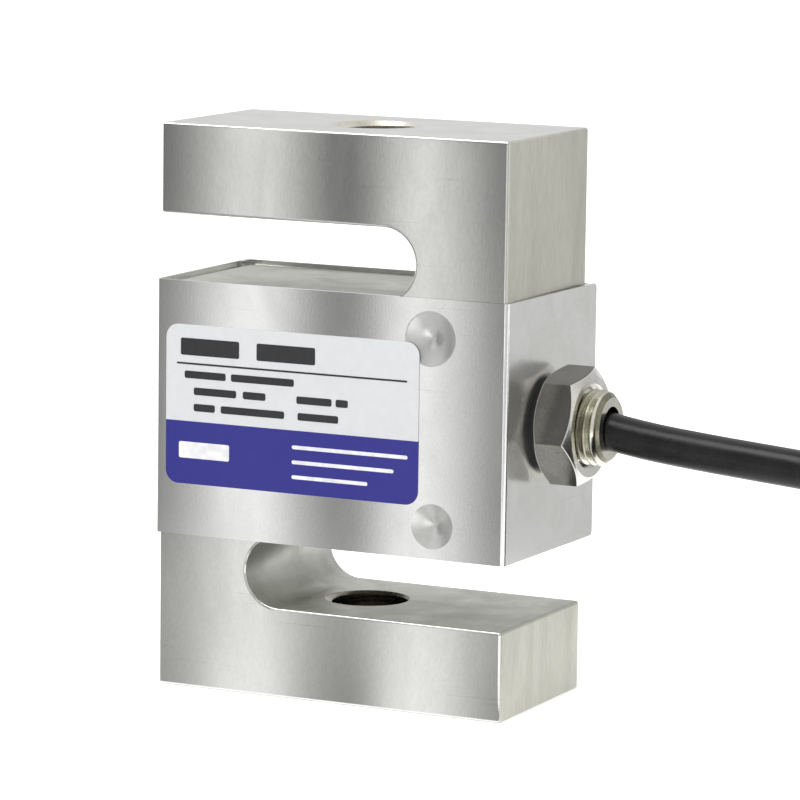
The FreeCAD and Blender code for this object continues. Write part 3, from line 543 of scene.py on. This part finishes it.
def groove_cutter(name, steps, start, turns, **sizes):
    """The groove as a closed solid whose helix starts at that point, lengths in millimetres."""
    lengths = {label: size * MM for label, size in sizes.items()}
    cutter = made_by(grooves, name, thread_steel, steps=steps, turns=turns, **lengths)
    cutter.data.transform(Matrix.Translation(start))
    work = bmesh.new()
    work.from_mesh(cutter.data)
    bmesh.ops.remove_doubles(work, verts=work.verts, dist=1e-7)
    bmesh.ops.recalc_face_normals(work, faces=work.faces)
    work.to_mesh(cutter.data)
    volume = work.calc_volume() / MM ** 3
    work.free()
    radii = [(v.co - start).xy.length / MM for v in cutter.data.vertices]
    print(name, round(volume, 1), "mm3, from radius", round(min(radii), 2), "to", round(max(radii), 2))
    return cutter


def cut_with(piece, cutter):
    """Takes the cutter out of the piece."""
    take = piece.modifiers.new("cut", "BOOLEAN")
    take.operation = "DIFFERENCE"
    take.solver = "EXACT"
    take.object = cutter


# %% Tap the load holes
load_thread = dict(pitch=1.75, wide_radius=4.9, deep_radius=6.0, wide_width=1.5, deep_width=0.22)
load_thread_turns, load_thread_steps = 9.8, 40
tap_starts = {"lower_tap": -2.6, "upper_tap": 61.7}
block = merged_copy("spring_element", "block_work")
taps = []
for name, foot in tap_starts.items():
    tap = groove_cutter(name, load_thread_steps, mm(0, 0, foot), load_thread_turns, **load_thread)
    cut_with(block, tap)
    taps.append(tap)
block = baked(block, "block")
settle_normals(block, 40)
for tap in taps:
    bpy.data.objects.remove(tap)
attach(block, "root")
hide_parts("spring_element")

# %% Cut the gland's thread
gland_thread = dict(pitch=1.0, wide_radius=5.12, deep_radius=4.42, wide_width=0.9, deep_width=0.16)
gland_thread_turns, gland_thread_steps, gland_thread_start = 5.4, 48, 30.4
gland_axis = mm(0, 0, 38.1)
stud = merged_copy("gland_stud", "stud_work")
die = groove_cutter(
    "gland_die", gland_thread_steps, mm(0, 0, gland_thread_start), gland_thread_turns, **gland_thread,
)
along_x = Matrix.Rotation(math.radians(90), 4, "Y")
die.data.transform(Matrix.Translation(gland_axis) @ along_x)
cut_with(stud, die)
stud = baked(stud, "stud")
settle_normals(stud, 5)
bpy.data.objects.remove(die)
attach(stud, "root")
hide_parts("gland_stud")

# %% [markdown]
# ## Which steel shows where
#
# One block shows six finishes. Each cutter leaves its own marks: the grinding wheel on the broad
# faces, the side mill on the ends, the slot mill in the slots and the tap in the threads. The block
# could be split by finish, but its edges would come apart, so each face picks its steel by where it
# is and which way it looks. The lower hole's thread gets a darker steel, painted shade from the
# block's middle above it.

# %% Lay the steels on the block
block_low, block_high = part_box("spring_element")
block_middle_z = (block_low.z + block_high.z) / 2
bore_reach = 6.4 * MM
edge_depth = 0.45 * MM
facing = 0.6  # how far along an axis a face's normal must point to look that way


def steel_for(face):
    """The steel that a face of the block shows."""
    look, place = face.normal, face.center
    to_end = min(place.x - block_low.x, block_high.x - place.x)
    to_top = min(place.z - block_low.z, block_high.z - place.z)
    # Threads below the middle take the darker steel, painted shade.
    if math.hypot(place.x, place.y) < bore_reach and abs(look.z) < 0.9:
        return thread_steel if place.z > block_middle_z else painted_shade_thread
    if abs(look.y) > facing:
        return ground_face
    if to_end < edge_depth and abs(look.x) > facing:
        return milled_side
    if to_top < edge_depth and abs(look.z) > facing:
        return flat_top
    return slot_wall


lay(block, *block_steels)
counts = dict.fromkeys((finish.name for finish in block_steels), 0)
for face in block.data.polygons:
    chosen = steel_for(face)
    face.material_index = block_steels.index(chosen)
    counts[chosen.name] += 1
print("block faces by steel", counts)

# %% [markdown]
# ## The front cover's dimples
#
# Two round dimples are pressed into the front cover, and each has a smaller pit in its middle. A
# press leaves a smooth bowl, because the sheet stretches. The solid's dishes and pits have straight
# sides, which is enough for its fit. Here each dish is taken out of a copy and rings of faces are
# laid in its place, at depths that follow a curve. Subdivision would do it too, but it would also
# round the sheet's crisp edges.

# %% The cover's sheet
cover = merged_copy("front_cover", "cover_sheet")
lay(cover, front_sheet, painted_shade_dish, painted_light_side_sheet)
FRONT, DISH, SIDE = range(3)
# Faces that look sideways take the lighter steel, painted light.
for face in cover.data.polygons:
    face.material_index = SIDE if abs(face.normal.x) > 0.75 else FRONT
print("cover faces on the sides", sum(face.material_index == SIDE for face in cover.data.polygons))

# %% Helper: the depth of a dimple
bowl_depth, pit_depth, pit_reach, ring_count = 0.75, 0.35, 1.7, 16
dimples = ((14.8, 50.0, 3.65), (15.4, 25.3, 3.0))  # across, up and radius


def pressed(share, radius):
    """How deep the bowl is, in millimetres, at a share of its radius."""
    in_pit = min(share * radius / pit_reach, 1.0)
    return bowl_depth * (1 - share ** 2) + pit_depth * (0.5 + 0.5 * math.cos(math.pi * in_pit))


print("dimples", [round(pressed(0, radius), 2) for *_, radius in dimples], "mm deep")

# %% Helper: take a dish out
cover_front_y = -10 * MM  # the cover's front sheet lies in front of this


def open_rings(work, across, up, radius):
    """The two round edges left when a dimple's faces are gone, each in order round its middle."""
    def from_middle(spot):
        return math.hypot(spot.x - across * MM, spot.z - up * MM)

    old = [
        face for face in work.faces
        if face.calc_center_median().y < cover_front_y
        and all(from_middle(v.co) < (radius + 0.02) * MM for v in face.verts)
    ]
    bmesh.ops.delete(work, geom=old, context="FACES")
    loose = [v for v in work.verts if not v.link_faces]
    bmesh.ops.delete(work, geom=loose, context="VERTS")
    rims = {}
    for edge in work.edges:
        if edge.is_boundary and all(from_middle(v.co) < (radius + 0.05) * MM for v in edge.verts):
            for corner in edge.verts:
                rims.setdefault(round(corner.co.y / MM, 1), set()).add(corner)
    return [
        sorted(rim, key=lambda v: math.atan2(v.co.z - up * MM, v.co.x - across * MM))
        for _, rim in sorted(rims.items())
    ]


# %% Press the dimples
work = bmesh.new()
work.from_mesh(cover.data)
# The rings laid in each dimple take the darker dish steel, painted shade.
for across, up, radius in dimples:
    for rim in open_rings(work, across, up, radius):
        outer = rim
        start_y = rim[0].co.y
        for ring in range(1, ring_count):
            share = 1 - ring / ring_count
            inner = []
            for corner in rim:
                spot = corner.co.copy()
                spot.x = across * MM + (spot.x - across * MM) * share
                spot.z = up * MM + (spot.z - up * MM) * share
                spot.y = start_y + pressed(share, radius) * MM
                inner.append(work.verts.new(spot))
            for first in range(len(rim)):
                after = (first + 1) % len(rim)
                quad = (outer[first], outer[after], inner[after], inner[first])
                work.faces.new(quad).material_index = DISH
            outer = inner
        work.faces.new(outer).material_index = DISH
bmesh.ops.recalc_face_normals(work, faces=work.faces)
closed = all(edge.is_manifold for edge in work.edges)
print("cover is closed", closed, "volume mm3", round(work.calc_volume() / MM ** 3, 1))
work.to_mesh(cover.data)
work.free()
settle_normals(cover, 20, 22)
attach(cover, "root")
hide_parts("front_cover")

# %% [markdown]
# ## The gland
#
# The stud and its nut are brass under nickel, tumbled together, so they are warmer and less even
# than the steel. The nut is cut from drawn bar. Its flats get a much darker steel, painted shade for
# the dark surroundings they reflect, while its chamfers are turned bright. The washer under the nut
# and the seal round the cable are black rubber. A Bevel modifier breaks the nut's edges.

# %% The stud's finishes
gland_nickel = steel(
    "gland_nickel", (0.76, 0.75, 0.67), (0.56, 0.54, 0.45), (0.13, 0.2), fleck=0.15, relief=0.008,
)
# The thread's grooves get a dark steel: painted shade in the grooves.
painted_groove_shade = steel(
    "painted_groove_shade", (0.26, 0.25, 0.18), (0.15, 0.14, 0.10), (0.2, 0.3), fleck=0.2, relief=0.008,
)
thread_from_x, bore_radius, crest_radius = 30.2 * MM, 3.2 * MM, 4.7 * MM
lay(stud, gland_nickel, painted_groove_shade)
# Faces in the thread's grooves take the dark steel, painted shade.
for face in stud.data.polygons:
    off_axis = (face.center - gland_axis).yz.length
    in_thread = face.center.x > thread_from_x and abs(face.normal.x) < 0.95
    face.material_index = 1 if in_thread and bore_radius < off_axis < crest_radius else 0
print("stud faces in the groove", sum(face.material_index for face in stud.data.polygons))

# %% The nut, with its edges broken
nut_nickel = steel(
    "nut_nickel", (0.80, 0.79, 0.76), (0.66, 0.65, 0.61), (0.20, 0.28), fleck=0.12, relief=0.006,
)
# The flats' steel is much darker than the nut's: painted shade for the dark reflections on the flats.
painted_dark_flat = steel(
    "painted_dark_flat", (0.25, 0.245, 0.225), (0.18, 0.175, 0.158), (0.15, 0.22), fleck=0.25, relief=0.01,
)
nut_flats_from = 6 * MM
nut = merged_copy("gland_nut", "nut_work")
soften = nut.modifiers.new("soften", "BEVEL")
soften.width = 0.14 * MM
soften.segments = 2
soften.limit_method = "ANGLE"
soften.angle_limit = math.radians(20)
nut = baked(nut, "nut")
settle_normals(nut, 8)
lay(nut, nut_nickel, painted_dark_flat)
# Faces on the flats take the dark steel, painted shade.
for face in nut.data.polygons:
    off_axis = (face.center - gland_axis).yz.length
    face.material_index = 1 if abs(face.normal.x) < 0.05 and off_axis > nut_flats_from else 0
print("nut faces on the flats", sum(face.material_index for face in nut.data.polygons))
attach(nut, "root")
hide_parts("gland_nut")

# %% The washer and the seal
# The solid leaves room for a full washer, and the one that is fitted has a smaller rim.
black_rubber = new_finish("black_rubber", (0.012, 0.012, 0.012), 0.0, 0.7)
bump_from(black_rubber, noise_on(black_rubber, spots_on(black_rubber, 4), 3), 0.02)
washer_rim = 6.1 * MM
washer = merged_copy("gland_washer", "washer")
lay(washer, black_rubber)
for corner in washer.data.vertices:
    off_axis = (corner.co - gland_axis).yz
    if off_axis.length > washer_rim:
        off_axis = off_axis.normalized() * washer_rim
        corner.co.y, corner.co.z = gland_axis.y + off_axis.x, gland_axis.z + off_axis.y
settle_normals(washer, 10)
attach(washer, "root")
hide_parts("gland_washer")
dress("gland_seal", black_rubber)
print("washer is", round(washer.dimensions.z / MM, 2), "mm across")

# %% [markdown]
# ## Jacket and cores
#
# The jacket is smooth black plastic with a soft shine, a little dusty from handling. At its far end
# a shrink sleeve closes it, and four coloured cores and the twisted drain wire come out. One flat
# colour would do for so thin a piece, but slow changes of gloss show that it was drawn through a die.

# %% The jacket
jacket = new_finish("jacket", (0.006, 0.006, 0.006), 0.0, 0.26, Specular_IOR_Level=0.26)
dust = noise_on(jacket, spots_on(jacket, 0.25), 4, 0.6)
dusty = stepped(jacket, dust, (0.35, (0.004, 0.004, 0.0045)), (0.75, (0.010, 0.010, 0.010)))
feed(jacket, "Base Color", dusty)
feed(jacket, "Roughness", stepped(jacket, dust, (0.3, 0.22), (0.75, 0.32)))
bump_from(jacket, noise_on(jacket, spots_on(jacket, 0.5), 3), 0.05)
line.materials.append(jacket)
dress("cable_inside", jacket)

# %% The cores and the sleeve
def plastic(name, colour, rough=0.35, uneven=0.18):
    """Moulded or extruded plastic with faint unevenness."""
    finish = new_finish(name, colour, 0.0, rough)
    lumps = noise_on(finish, spots_on(finish, 0.8), 3)
    dim = [value * (1 - uneven) for value in colour]
    feed(finish, "Base Color", stepped(finish, lumps, (0.35, dim), (0.65, colour)))
    feed(finish, "Roughness", stepped(finish, lumps, (0.3, rough + 0.08), (0.7, rough)))
    bump_from(finish, lumps, 0.02)
    return finish


core_colours = {
    "red": (0.52, 0.02, 0.02), "black": (0.015, 0.015, 0.015),
    "green": (0.02, 0.25, 0.06), "white": (0.75, 0.75, 0.72),
}
for colour_name, colour in core_colours.items():
    core = plastic("core_" + colour_name, colour)
    dress("end_" + colour_name, core)
    dress("tail_" + colour_name, core)
dress("end_sleeve", plastic("shrink_sleeve", (0.02, 0.02, 0.02), 0.45))
drain_wire = steel(
    "drain_wire", (0.75, 0.74, 0.70), (0.5, 0.5, 0.47), (0.3, 0.4), fleck=0.2, relief=0.02,
)
dress("end_shield", drain_wire)
print("cores", list(core_colours))

# %% [markdown]
# ## The strap
#
# A woven strap holds the hank together. It is a flat band that goes once round, so Geometry Nodes
# sweep a thin rectangle round a larger one with filleted corners. A box with its middle cut out
# would do too, but each corner would have to be rounded by itself. The weave is a checker in the
# finish, as its threads are too fine to model.

# %% The band as a node tree
def strap_tree():
    """A node tree that sweeps a flat band round a rectangle with round corners."""
    tree, given, join = new_tree(
        "strap", width="Float", height="Float", corner="Float", thickness="Float", breadth="Float",
    )
    loop = tree.nodes.new("GeometryNodeCurvePrimitiveQuadrilateral")
    join(given["width"], loop.inputs["Width"])
    join(given["height"], loop.inputs["Height"])
    rounding = tree.nodes.new("GeometryNodeFilletCurve")
    rounding.mode = "POLY"
    rounding.inputs["Count"].default_value = 8
    join(loop.outputs["Curve"], rounding.inputs["Curve"])
    join(given["corner"], rounding.inputs["Radius"])
    band = tree.nodes.new("GeometryNodeCurvePrimitiveQuadrilateral")
    join(given["thickness"], band.inputs["Width"])
    join(given["breadth"], band.inputs["Height"])
    sweep = tree.nodes.new("GeometryNodeCurveToMesh")
    join(rounding.outputs["Curve"], sweep.inputs["Curve"])
    join(band.outputs["Curve"], sweep.inputs["Profile Curve"])
    end_tree(tree, sweep.outputs["Mesh"], given["finish"])
    return tree


# %% Webbing
webbing = new_finish("webbing", (0.014, 0.014, 0.016), 0.0, 0.85)
weave = add_node(webbing, "ShaderNodeTexChecker")
weave.inputs["Scale"].default_value = 1.0
webbing.node_tree.links.new(spots_on(webbing, 2.4), weave.inputs["Vector"])
fuzz = noise_on(webbing, spots_on(webbing, 6), 3, 0.7)
weave_tone = stepped(
    webbing, weave.outputs["Fac"], (0.0, (0.010, 0.010, 0.011)), (1.0, (0.024, 0.024, 0.027)),
)
fuzz_tone = stepped(webbing, fuzz, (0.3, 0.6), (0.7, 1.0))
fuzz_height = stepped(webbing, fuzz, (0.2, 0.5), (0.8, 1.0))
feed(webbing, "Base Color", multiplied(webbing, weave_tone, fuzz_tone))
bump_from(webbing, multiplied(webbing, weave.outputs["Color"], fuzz_height), 0.12)

# %% Put the strap round the hank
tie_low, tie_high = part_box("hank_tie")
strap_size = tie_high - tie_low
strap_thick = 0.55 * MM
strap_corner = 2.6 * MM
strap = made_by(
    strap_tree(), "strap", webbing, width=strap_size.y - strap_thick, height=strap_size.z - strap_thick,
    corner=strap_corner, thickness=strap_thick, breadth=strap_size.x,
)
upright = Matrix.Rotation(math.radians(90), 4, "Z") @ Matrix.Rotation(math.radians(90), 4, "X")
strap.data.transform(Matrix.Translation((tie_low + tie_high) / 2) @ upright)
print("strap is", [round(side / MM, 2) for side in strap_size], "mm")
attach(strap, "root")
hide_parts("hank_tie")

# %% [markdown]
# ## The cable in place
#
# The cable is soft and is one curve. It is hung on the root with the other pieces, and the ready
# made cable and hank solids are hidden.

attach(cable, "root")
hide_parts("cable", "cable_hank")

# %% [markdown]
# ## Inside the cell
#
# Under the covers lie the foil gauges, the solder board with its resistors, the fine leads and the
# silicone that closes the pockets. They are hidden, and their solids are detailed enough, so they
# only get finishes. The gauges' grid lines are a wave pattern, as real ones are a few hundredths of
# a millimetre wide.

# %% Inner finishes
film_amber, foil_amber = (0.50, 0.22, 0.03), (0.36, 0.30, 0.22)
gauge_film = plastic("gauge_film", film_amber, 0.25)
grid_lines = add_node(gauge_film, "ShaderNodeTexWave", wave_type="BANDS", bands_direction="DIAGONAL")
grid_lines.inputs["Scale"].default_value = 1.0
gauge_film.node_tree.links.new(spots_on(gauge_film, 0.8), grid_lines.inputs["Vector"])
grid_tone = stepped(gauge_film, grid_lines.outputs["Fac"], (0.45, film_amber), (0.55, foil_amber))
feed(gauge_film, "Base Color", grid_tone)
inner_finishes = {
    gauge_film: ("front_gauge", "rear_gauge"),
    plastic("silicone", (0.62, 0.62, 0.58), 0.3): ("front_potting", "rear_potting"),
    plastic("laminate", (0.02, 0.16, 0.05), 0.4): ("bridge_board",),
    plastic("chip_glaze", (0.02, 0.02, 0.025), 0.2): (
        "span_resistor_left", "span_resistor_right", "zero_resistor",
    ),
    plastic("lead_enamel", (0.42, 0.12, 0.03), 0.3): ("front_leads", "rear_leads"),
}
for finish, inner_nodes in inner_finishes.items():
    for node in inner_nodes:
        dress(node, finish)
print("inner finishes", [finish.name for finish in inner_finishes])

# %% [markdown]
# ## The label
#
# The label is silver film with a blue foot, stuck on the front cover. It carries no words: each
# place where such a label has print holds a plain bar or field. The film is one sheet with rounded
# corners, cut along the colour's edge so that the edge is crisp in the mesh itself. A colour ramp
# along Z would be simpler, but it would be soft close up.

# %% Helpers: a rounded outline, and flat plates
def rounded_outline(low_x, high_x, low_z, high_z, radius, steps):
    """Points round a rectangle in X and Z, anticlockwise as seen from the front."""
    spots = []
    for cx, cz, start in (
        (high_x - radius, low_z + radius, -90), (high_x - radius, high_z - radius, 0),
        (low_x + radius, high_z - radius, 90), (low_x + radius, low_z + radius, 180),
    ):
        for step in range(steps + 1):
            turn = math.radians(start + 90 * step / steps)
            spots.append((cx + radius * math.cos(turn), cz + radius * math.sin(turn)))
    return spots


def slab(name, outlines, front, back, finishes):
    """Flat plates between two depths, one for each outline."""
    work = bmesh.new()
    for outline in outlines:
        face = work.faces.new([work.verts.new((x, back, z)) for x, z in outline])
        grown = bmesh.ops.extrude_face_region(work, geom=[face])
        for item in grown["geom"]:
            if isinstance(item, bmesh.types.BMVert):
                item.co.y = front
    bmesh.ops.recalc_face_normals(work, faces=work.faces)
    mesh = bpy.data.meshes.new(name)
    work.to_mesh(mesh)
    work.free()
    piece = put(name, mesh)
    lay(piece, *finishes)
    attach(piece, "root")
    return piece


# %% The film
silver_film = plastic("silver_film", (0.60, 0.61, 0.62), 0.28, 0.03)
blue_film = plastic("blue_film", (0.016, 0.016, 0.215), 0.3, 0.05)
label_low, label_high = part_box("name_label")
label_size = label_high - label_low
label_corner = 1.8 * MM
blue_top = 36.4 * MM
film_outline = rounded_outline(label_low.x, label_high.x, label_low.z, label_high.z, label_corner, 8)
film = slab("label_film", [film_outline], label_low.y, label_high.y, (silver_film, blue_film))
split = bmesh.new()
split.from_mesh(film.data)
bmesh.ops.bisect_plane(
    split, geom=split.verts[:] + split.edges[:] + split.faces[:],
    plane_co=(0, 0, blue_top), plane_no=(0, 0, 1),
)
for face in split.faces:
    face.material_index = 1 if face.calc_center_median().z < blue_top else 0
split.to_mesh(film.data)
split.free()
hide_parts("name_label")
print("label", round(label_size.x / MM, 2), "by", round(label_size.z / MM, 2), "mm")

# %% The printed bars
black_print = plastic("black_print", (0.02, 0.02, 0.022), 0.4)
white_print = plastic("white_print", (0.78, 0.78, 0.80), 0.4)
print_front, print_back = label_low.y - 0.02 * MM, label_low.y + 0.01 * MM
bar_corner = 0.25


def bars(name, finish, *rows):
    """Round ended bars of print: a row is its bottom and top, and then left and right of each bar."""
    outlines = []
    for (bottom, top), *runs in rows:
        for left, right in runs:
            radius = min(bar_corner, (top - bottom) / 2 - 0.01, (right - left) / 2 - 0.01)
            sides = [side * MM for side in (left, right, bottom, top, radius)]
            outlines.append(rounded_outline(*sides, 4))
    print(name, len(outlines), "bars")
    return slab(name, outlines, print_front, print_back, (finish,))


bars(
    "heading_bars", black_print,
    ((45.3, 47.6), (-22.0, -13.2), (-10.6, -1.9)),
    ((44.05, 44.3), (-22.6, 11.6)),
)
bars(
    "entry_bars", black_print,
    ((42.2, 43.2), (-21.4, -15.2), (-14.4, -5.0)),
    ((40.0, 41.0), (-20.0, -13.6), (-12.6, -9.2), (-4.6, 0.6), (1.2, 3.0)),
    ((37.8, 38.8), (-20.0, -16.8), (-15.9, -6.4), (-4.4, 1.6)),
)
bars(
    "foot_bars", white_print,
    ((31.4, 33.6), (-22.2, -14.6)),
    ((33.9, 34.4), (-5.2, 11.8)), ((31.9, 32.4), (-5.2, 9.8)), ((29.9, 30.4), (-5.2, 6.0)),
)

# %% [markdown]
# ## Studio
#
# The studio is a pale floor under a pale sky. One plain strength would do for both, but metal looks
# grey under a sky that is only as strong as the light needs. So the rays that see the background
# straight on, in a reflection or through glass find it white, and the others find it dimmer.

# %% Helper: a strength for the rays that see the background
def strength_for(tree, seen, unseen):
    """One strength for camera, glossy and transmission rays, and another for the rest."""
    path = tree.nodes.new("ShaderNodeLightPath")
    rays = path.outputs["Is Camera Ray"]
    for other in ("Is Glossy Ray", "Is Transmission Ray"):
        either = tree.nodes.new("ShaderNodeMath")
        either.operation = "MAXIMUM"
        tree.links.new(rays, either.inputs[0])
        tree.links.new(path.outputs[other], either.inputs[1])
        rays = either.outputs["Value"]
    span = tree.nodes.new("ShaderNodeMapRange")
    span.inputs["To Min"].default_value = unseen
    span.inputs["To Max"].default_value = seen
    tree.links.new(rays, span.inputs["Value"])
    return span.outputs["Result"]


# %% The sky
world = bpy.data.worlds.new("studio")
scene.world = world
world.use_nodes = True
sky = world.node_tree.nodes["Background"]
sky.inputs["Color"].default_value = (1, 1, 1, 1)
world.node_tree.links.new(strength_for(world.node_tree, 1.0, 0.75), sky.inputs["Strength"])

# %% The floor
floor_reach = 6000


def flat_card(name, corners, finish):
    """A flat four cornered card of the studio, at points in millimetres."""
    mesh = bpy.data.meshes.new(name)
    mesh.from_pydata([mm(*spot) for spot in corners], [], [(0, 1, 2, 3)])
    mesh.materials.append(finish)
    card = put(name, mesh)
    return card


pale_floor = new_finish("pale_floor", (0.85, 0.85, 0.85), 0.0, 0.9, Specular_IOR_Level=0.0)
pale_floor.node_tree.nodes["Principled BSDF"].inputs["Emission Color"].default_value = (1, 1, 1, 1)
feed(pale_floor, "Emission Strength", strength_for(pale_floor.node_tree, 0.55, 0.0))
flat_card("floor", [
    (-floor_reach, -floor_reach, 0), (floor_reach, -floor_reach, 0),
    (floor_reach, floor_reach, 0), (-floor_reach, floor_reach, 0),
], pale_floor)

# %% [markdown]
# ## Cards
#
# Bright metal shows its surroundings more than its own colour. So a studio puts striped and grey
# cards round such a piece, and its ground faces show soft light and dark bands. The large card lies
# on the floor in front, bends upwards and has a tone for each band. Its columns stand where the
# line of sight goes after it meets the front face, so a band is written at the place on the face
# where it should show. Stripes in the steel's own colour would be simpler, but they would stay put
# when the cell is turned. Only reflections see the cards.

# %% Helpers: a glowing card that only reflections see
def glowing(name):
    """A finish that only gives off light, with its lamp node."""
    finish = bpy.data.materials.new(name)
    finish.use_nodes = True
    tree = finish.node_tree
    tree.nodes.clear()
    end = tree.nodes.new("ShaderNodeOutputMaterial")
    lamp = tree.nodes.new("ShaderNodeEmission")
    tree.links.new(lamp.outputs["Emission"], end.inputs["Surface"])
    return finish, lamp


def only_in_reflections(card):
    """Hides a card from all rays but glossy ones."""
    for kind in ("camera", "diffuse", "transmission", "shadow", "volume_scatter"):
        setattr(card, "visible_" + kind, False)


# %% The front card's tones
# A tone for each place across the front face, in millimetres from its middle.
bands = {
    -160: 0.50, -46: 0.22, -26: 0.22, -24: 0.27, -22: 0.36, -19: 0.57, -16: 0.86, -13.5: 1.02, -11: 1.06,
    -9: 0.99, -7: 0.82, -5.5: 0.66, -4: 0.52, -2.5: 0.39, -1: 0.28, 0.5: 0.21, 2: 0.18, 3.5: 0.19,
    5: 0.26, 6.5: 0.42, 8: 0.64, 9.5: 0.86, 11: 0.98, 13: 1.06, 15: 1.00, 17: 0.88, 18.5: 0.76,
    20: 0.62, 21.5: 0.47, 23: 0.35, 24.5: 0.25, 33: 0.16,
}
# A row is its distance in front, its height, and the share, power and lift of its tones.
rows = (
    (0.6, 0.15, 0.8, 1.0, 0.22), (60.3, 0.15, 0.8, 1.0, 0.22), (60.3, 14.0, 0.97, 1.0, 0.03),
    (60.3, 46.0, 1.0, 1.0, 0.0), (60.3, 60.0, 1.0, 1.3, 0.0), (60.3, 170.0, 1.0, 1.3, 0.0),
)
card_gain = 1.2
front_face_y = -12.7


def in_front(face_x, distance):
    """Where the line of sight is, that far in front, once it has met the face at face_x."""
    camera_x, camera_distance = camera.location.x / MM, front_face_y - camera.location.y / MM
    return face_x + (face_x - camera_x) * distance / camera_distance


row_tones = [
    card_gain * (share * tone ** power + lift)
    for *_, share, power, lift in rows for tone in bands.values()
]
print("front card has", len(row_tones), "tones, up to", round(max(row_tones), 2))

# %% The front card
card_mesh = bpy.data.meshes.new("front_card")
spots = [mm(in_front(x, away), front_face_y - away, up) for away, up, *_ in rows for x in bands]
last = len(bands)
card_mesh.from_pydata(spots, [], [
    (row * last + i, row * last + i + 1, (row + 1) * last + i + 1, (row + 1) * last + i)
    for row in range(len(rows) - 1) for i in range(last - 1)
])
tones = card_mesh.color_attributes.new("tone", "FLOAT_COLOR", "POINT")
for place, tone in zip(tones.data, row_tones):
    place.color = (tone, tone, tone, 1)
band_light, band_lamp = glowing("band_card")
band_tone = add_node(band_light, "ShaderNodeAttribute", attribute_name="tone")
band_light.node_tree.links.new(band_tone.outputs["Color"], band_lamp.inputs["Color"])
card_mesh.materials.append(band_light)
front_card = put("front_card", card_mesh)
only_in_reflections(front_card)

# %% The smaller cards
def upright_card(name, left, right, depth, bottom, top, along, run, *stops):
    """A card that faces the front, whose light changes along one axis between the two ends of run."""
    finish, lamp = glowing(name)
    where = add_node(finish, "ShaderNodeTexCoord")
    apart = add_node(finish, "ShaderNodeSeparateXYZ")
    finish.node_tree.links.new(where.outputs["Object"], apart.inputs["Vector"])
    span = add_node(finish, "ShaderNodeMapRange")
    span.inputs["From Min"].default_value = run[0] * MM
    span.inputs["From Max"].default_value = run[1] * MM
    finish.node_tree.links.new(apart.outputs[along], span.inputs["Value"])
    light = stepped(finish, span.outputs["Result"], *stops)
    finish.node_tree.links.new(light, lamp.inputs["Color"])
    card = flat_card(name, [
        (left, depth, bottom), (right, depth, bottom), (right, depth, top), (left, depth, top),
    ], finish)
    only_in_reflections(card)


upright_card(  # greys the cover's side
    "side_card", 38, 150, 75, -10, 150, "Z", (0, 90), (0.0, 0.62), (1.0, 0.72),
)
upright_card(  # darkens the nut's upper flat
    "nut_card", -13, 36, -72.5, 72, 120, "X", (-13, 36), (0.0, 0.26), (1.0, 0.22),
)
upright_card(  # stripes the front for someone who looks from the left
    "right_card", 20, 420, -150, 0, 240, "X", (20, 420),
    (0.0, 0.6), (0.2, 1.0), (0.35, 0.45), (0.5, 0.95), (0.7, 0.4), (0.85, 1.0), (1.0, 0.6),
)
upright_card(  # stripes the rear for someone who looks from behind
    "rear_card", -150, 30, 110, -10, 92, "X", (-150, 30),
    (0.0, 0.3), (0.12, 0.9), (0.25, 0.35), (0.4, 1.0), (0.72, 1.0), (0.86, 0.35), (1.0, 0.8),
)

# %% [markdown]
# ## The lamp
#
# One large lamp high on the left gives the soft shadow on the floor and the light on the top. A
# small lamp would draw a hard shadow and a bright line on every edge of the nut.

# %% Lamp
key = put("key", bpy.data.lights.new("key", "AREA"))
key.data.energy = 8.5
key.data.size = 800 * MM
key.location = mm(-330, -430, 800)
key.rotation_euler = (mm(0, 0, 40) - key.location).to_track_quat("-Z", "Y").to_euler()
key.visible_camera = False

# %% [markdown]
# ## Close
#
# The colours are shown as they are written, with the plainest view transform.

# %% Finish
bpy.context.scene.view_settings.view_transform = "Standard"
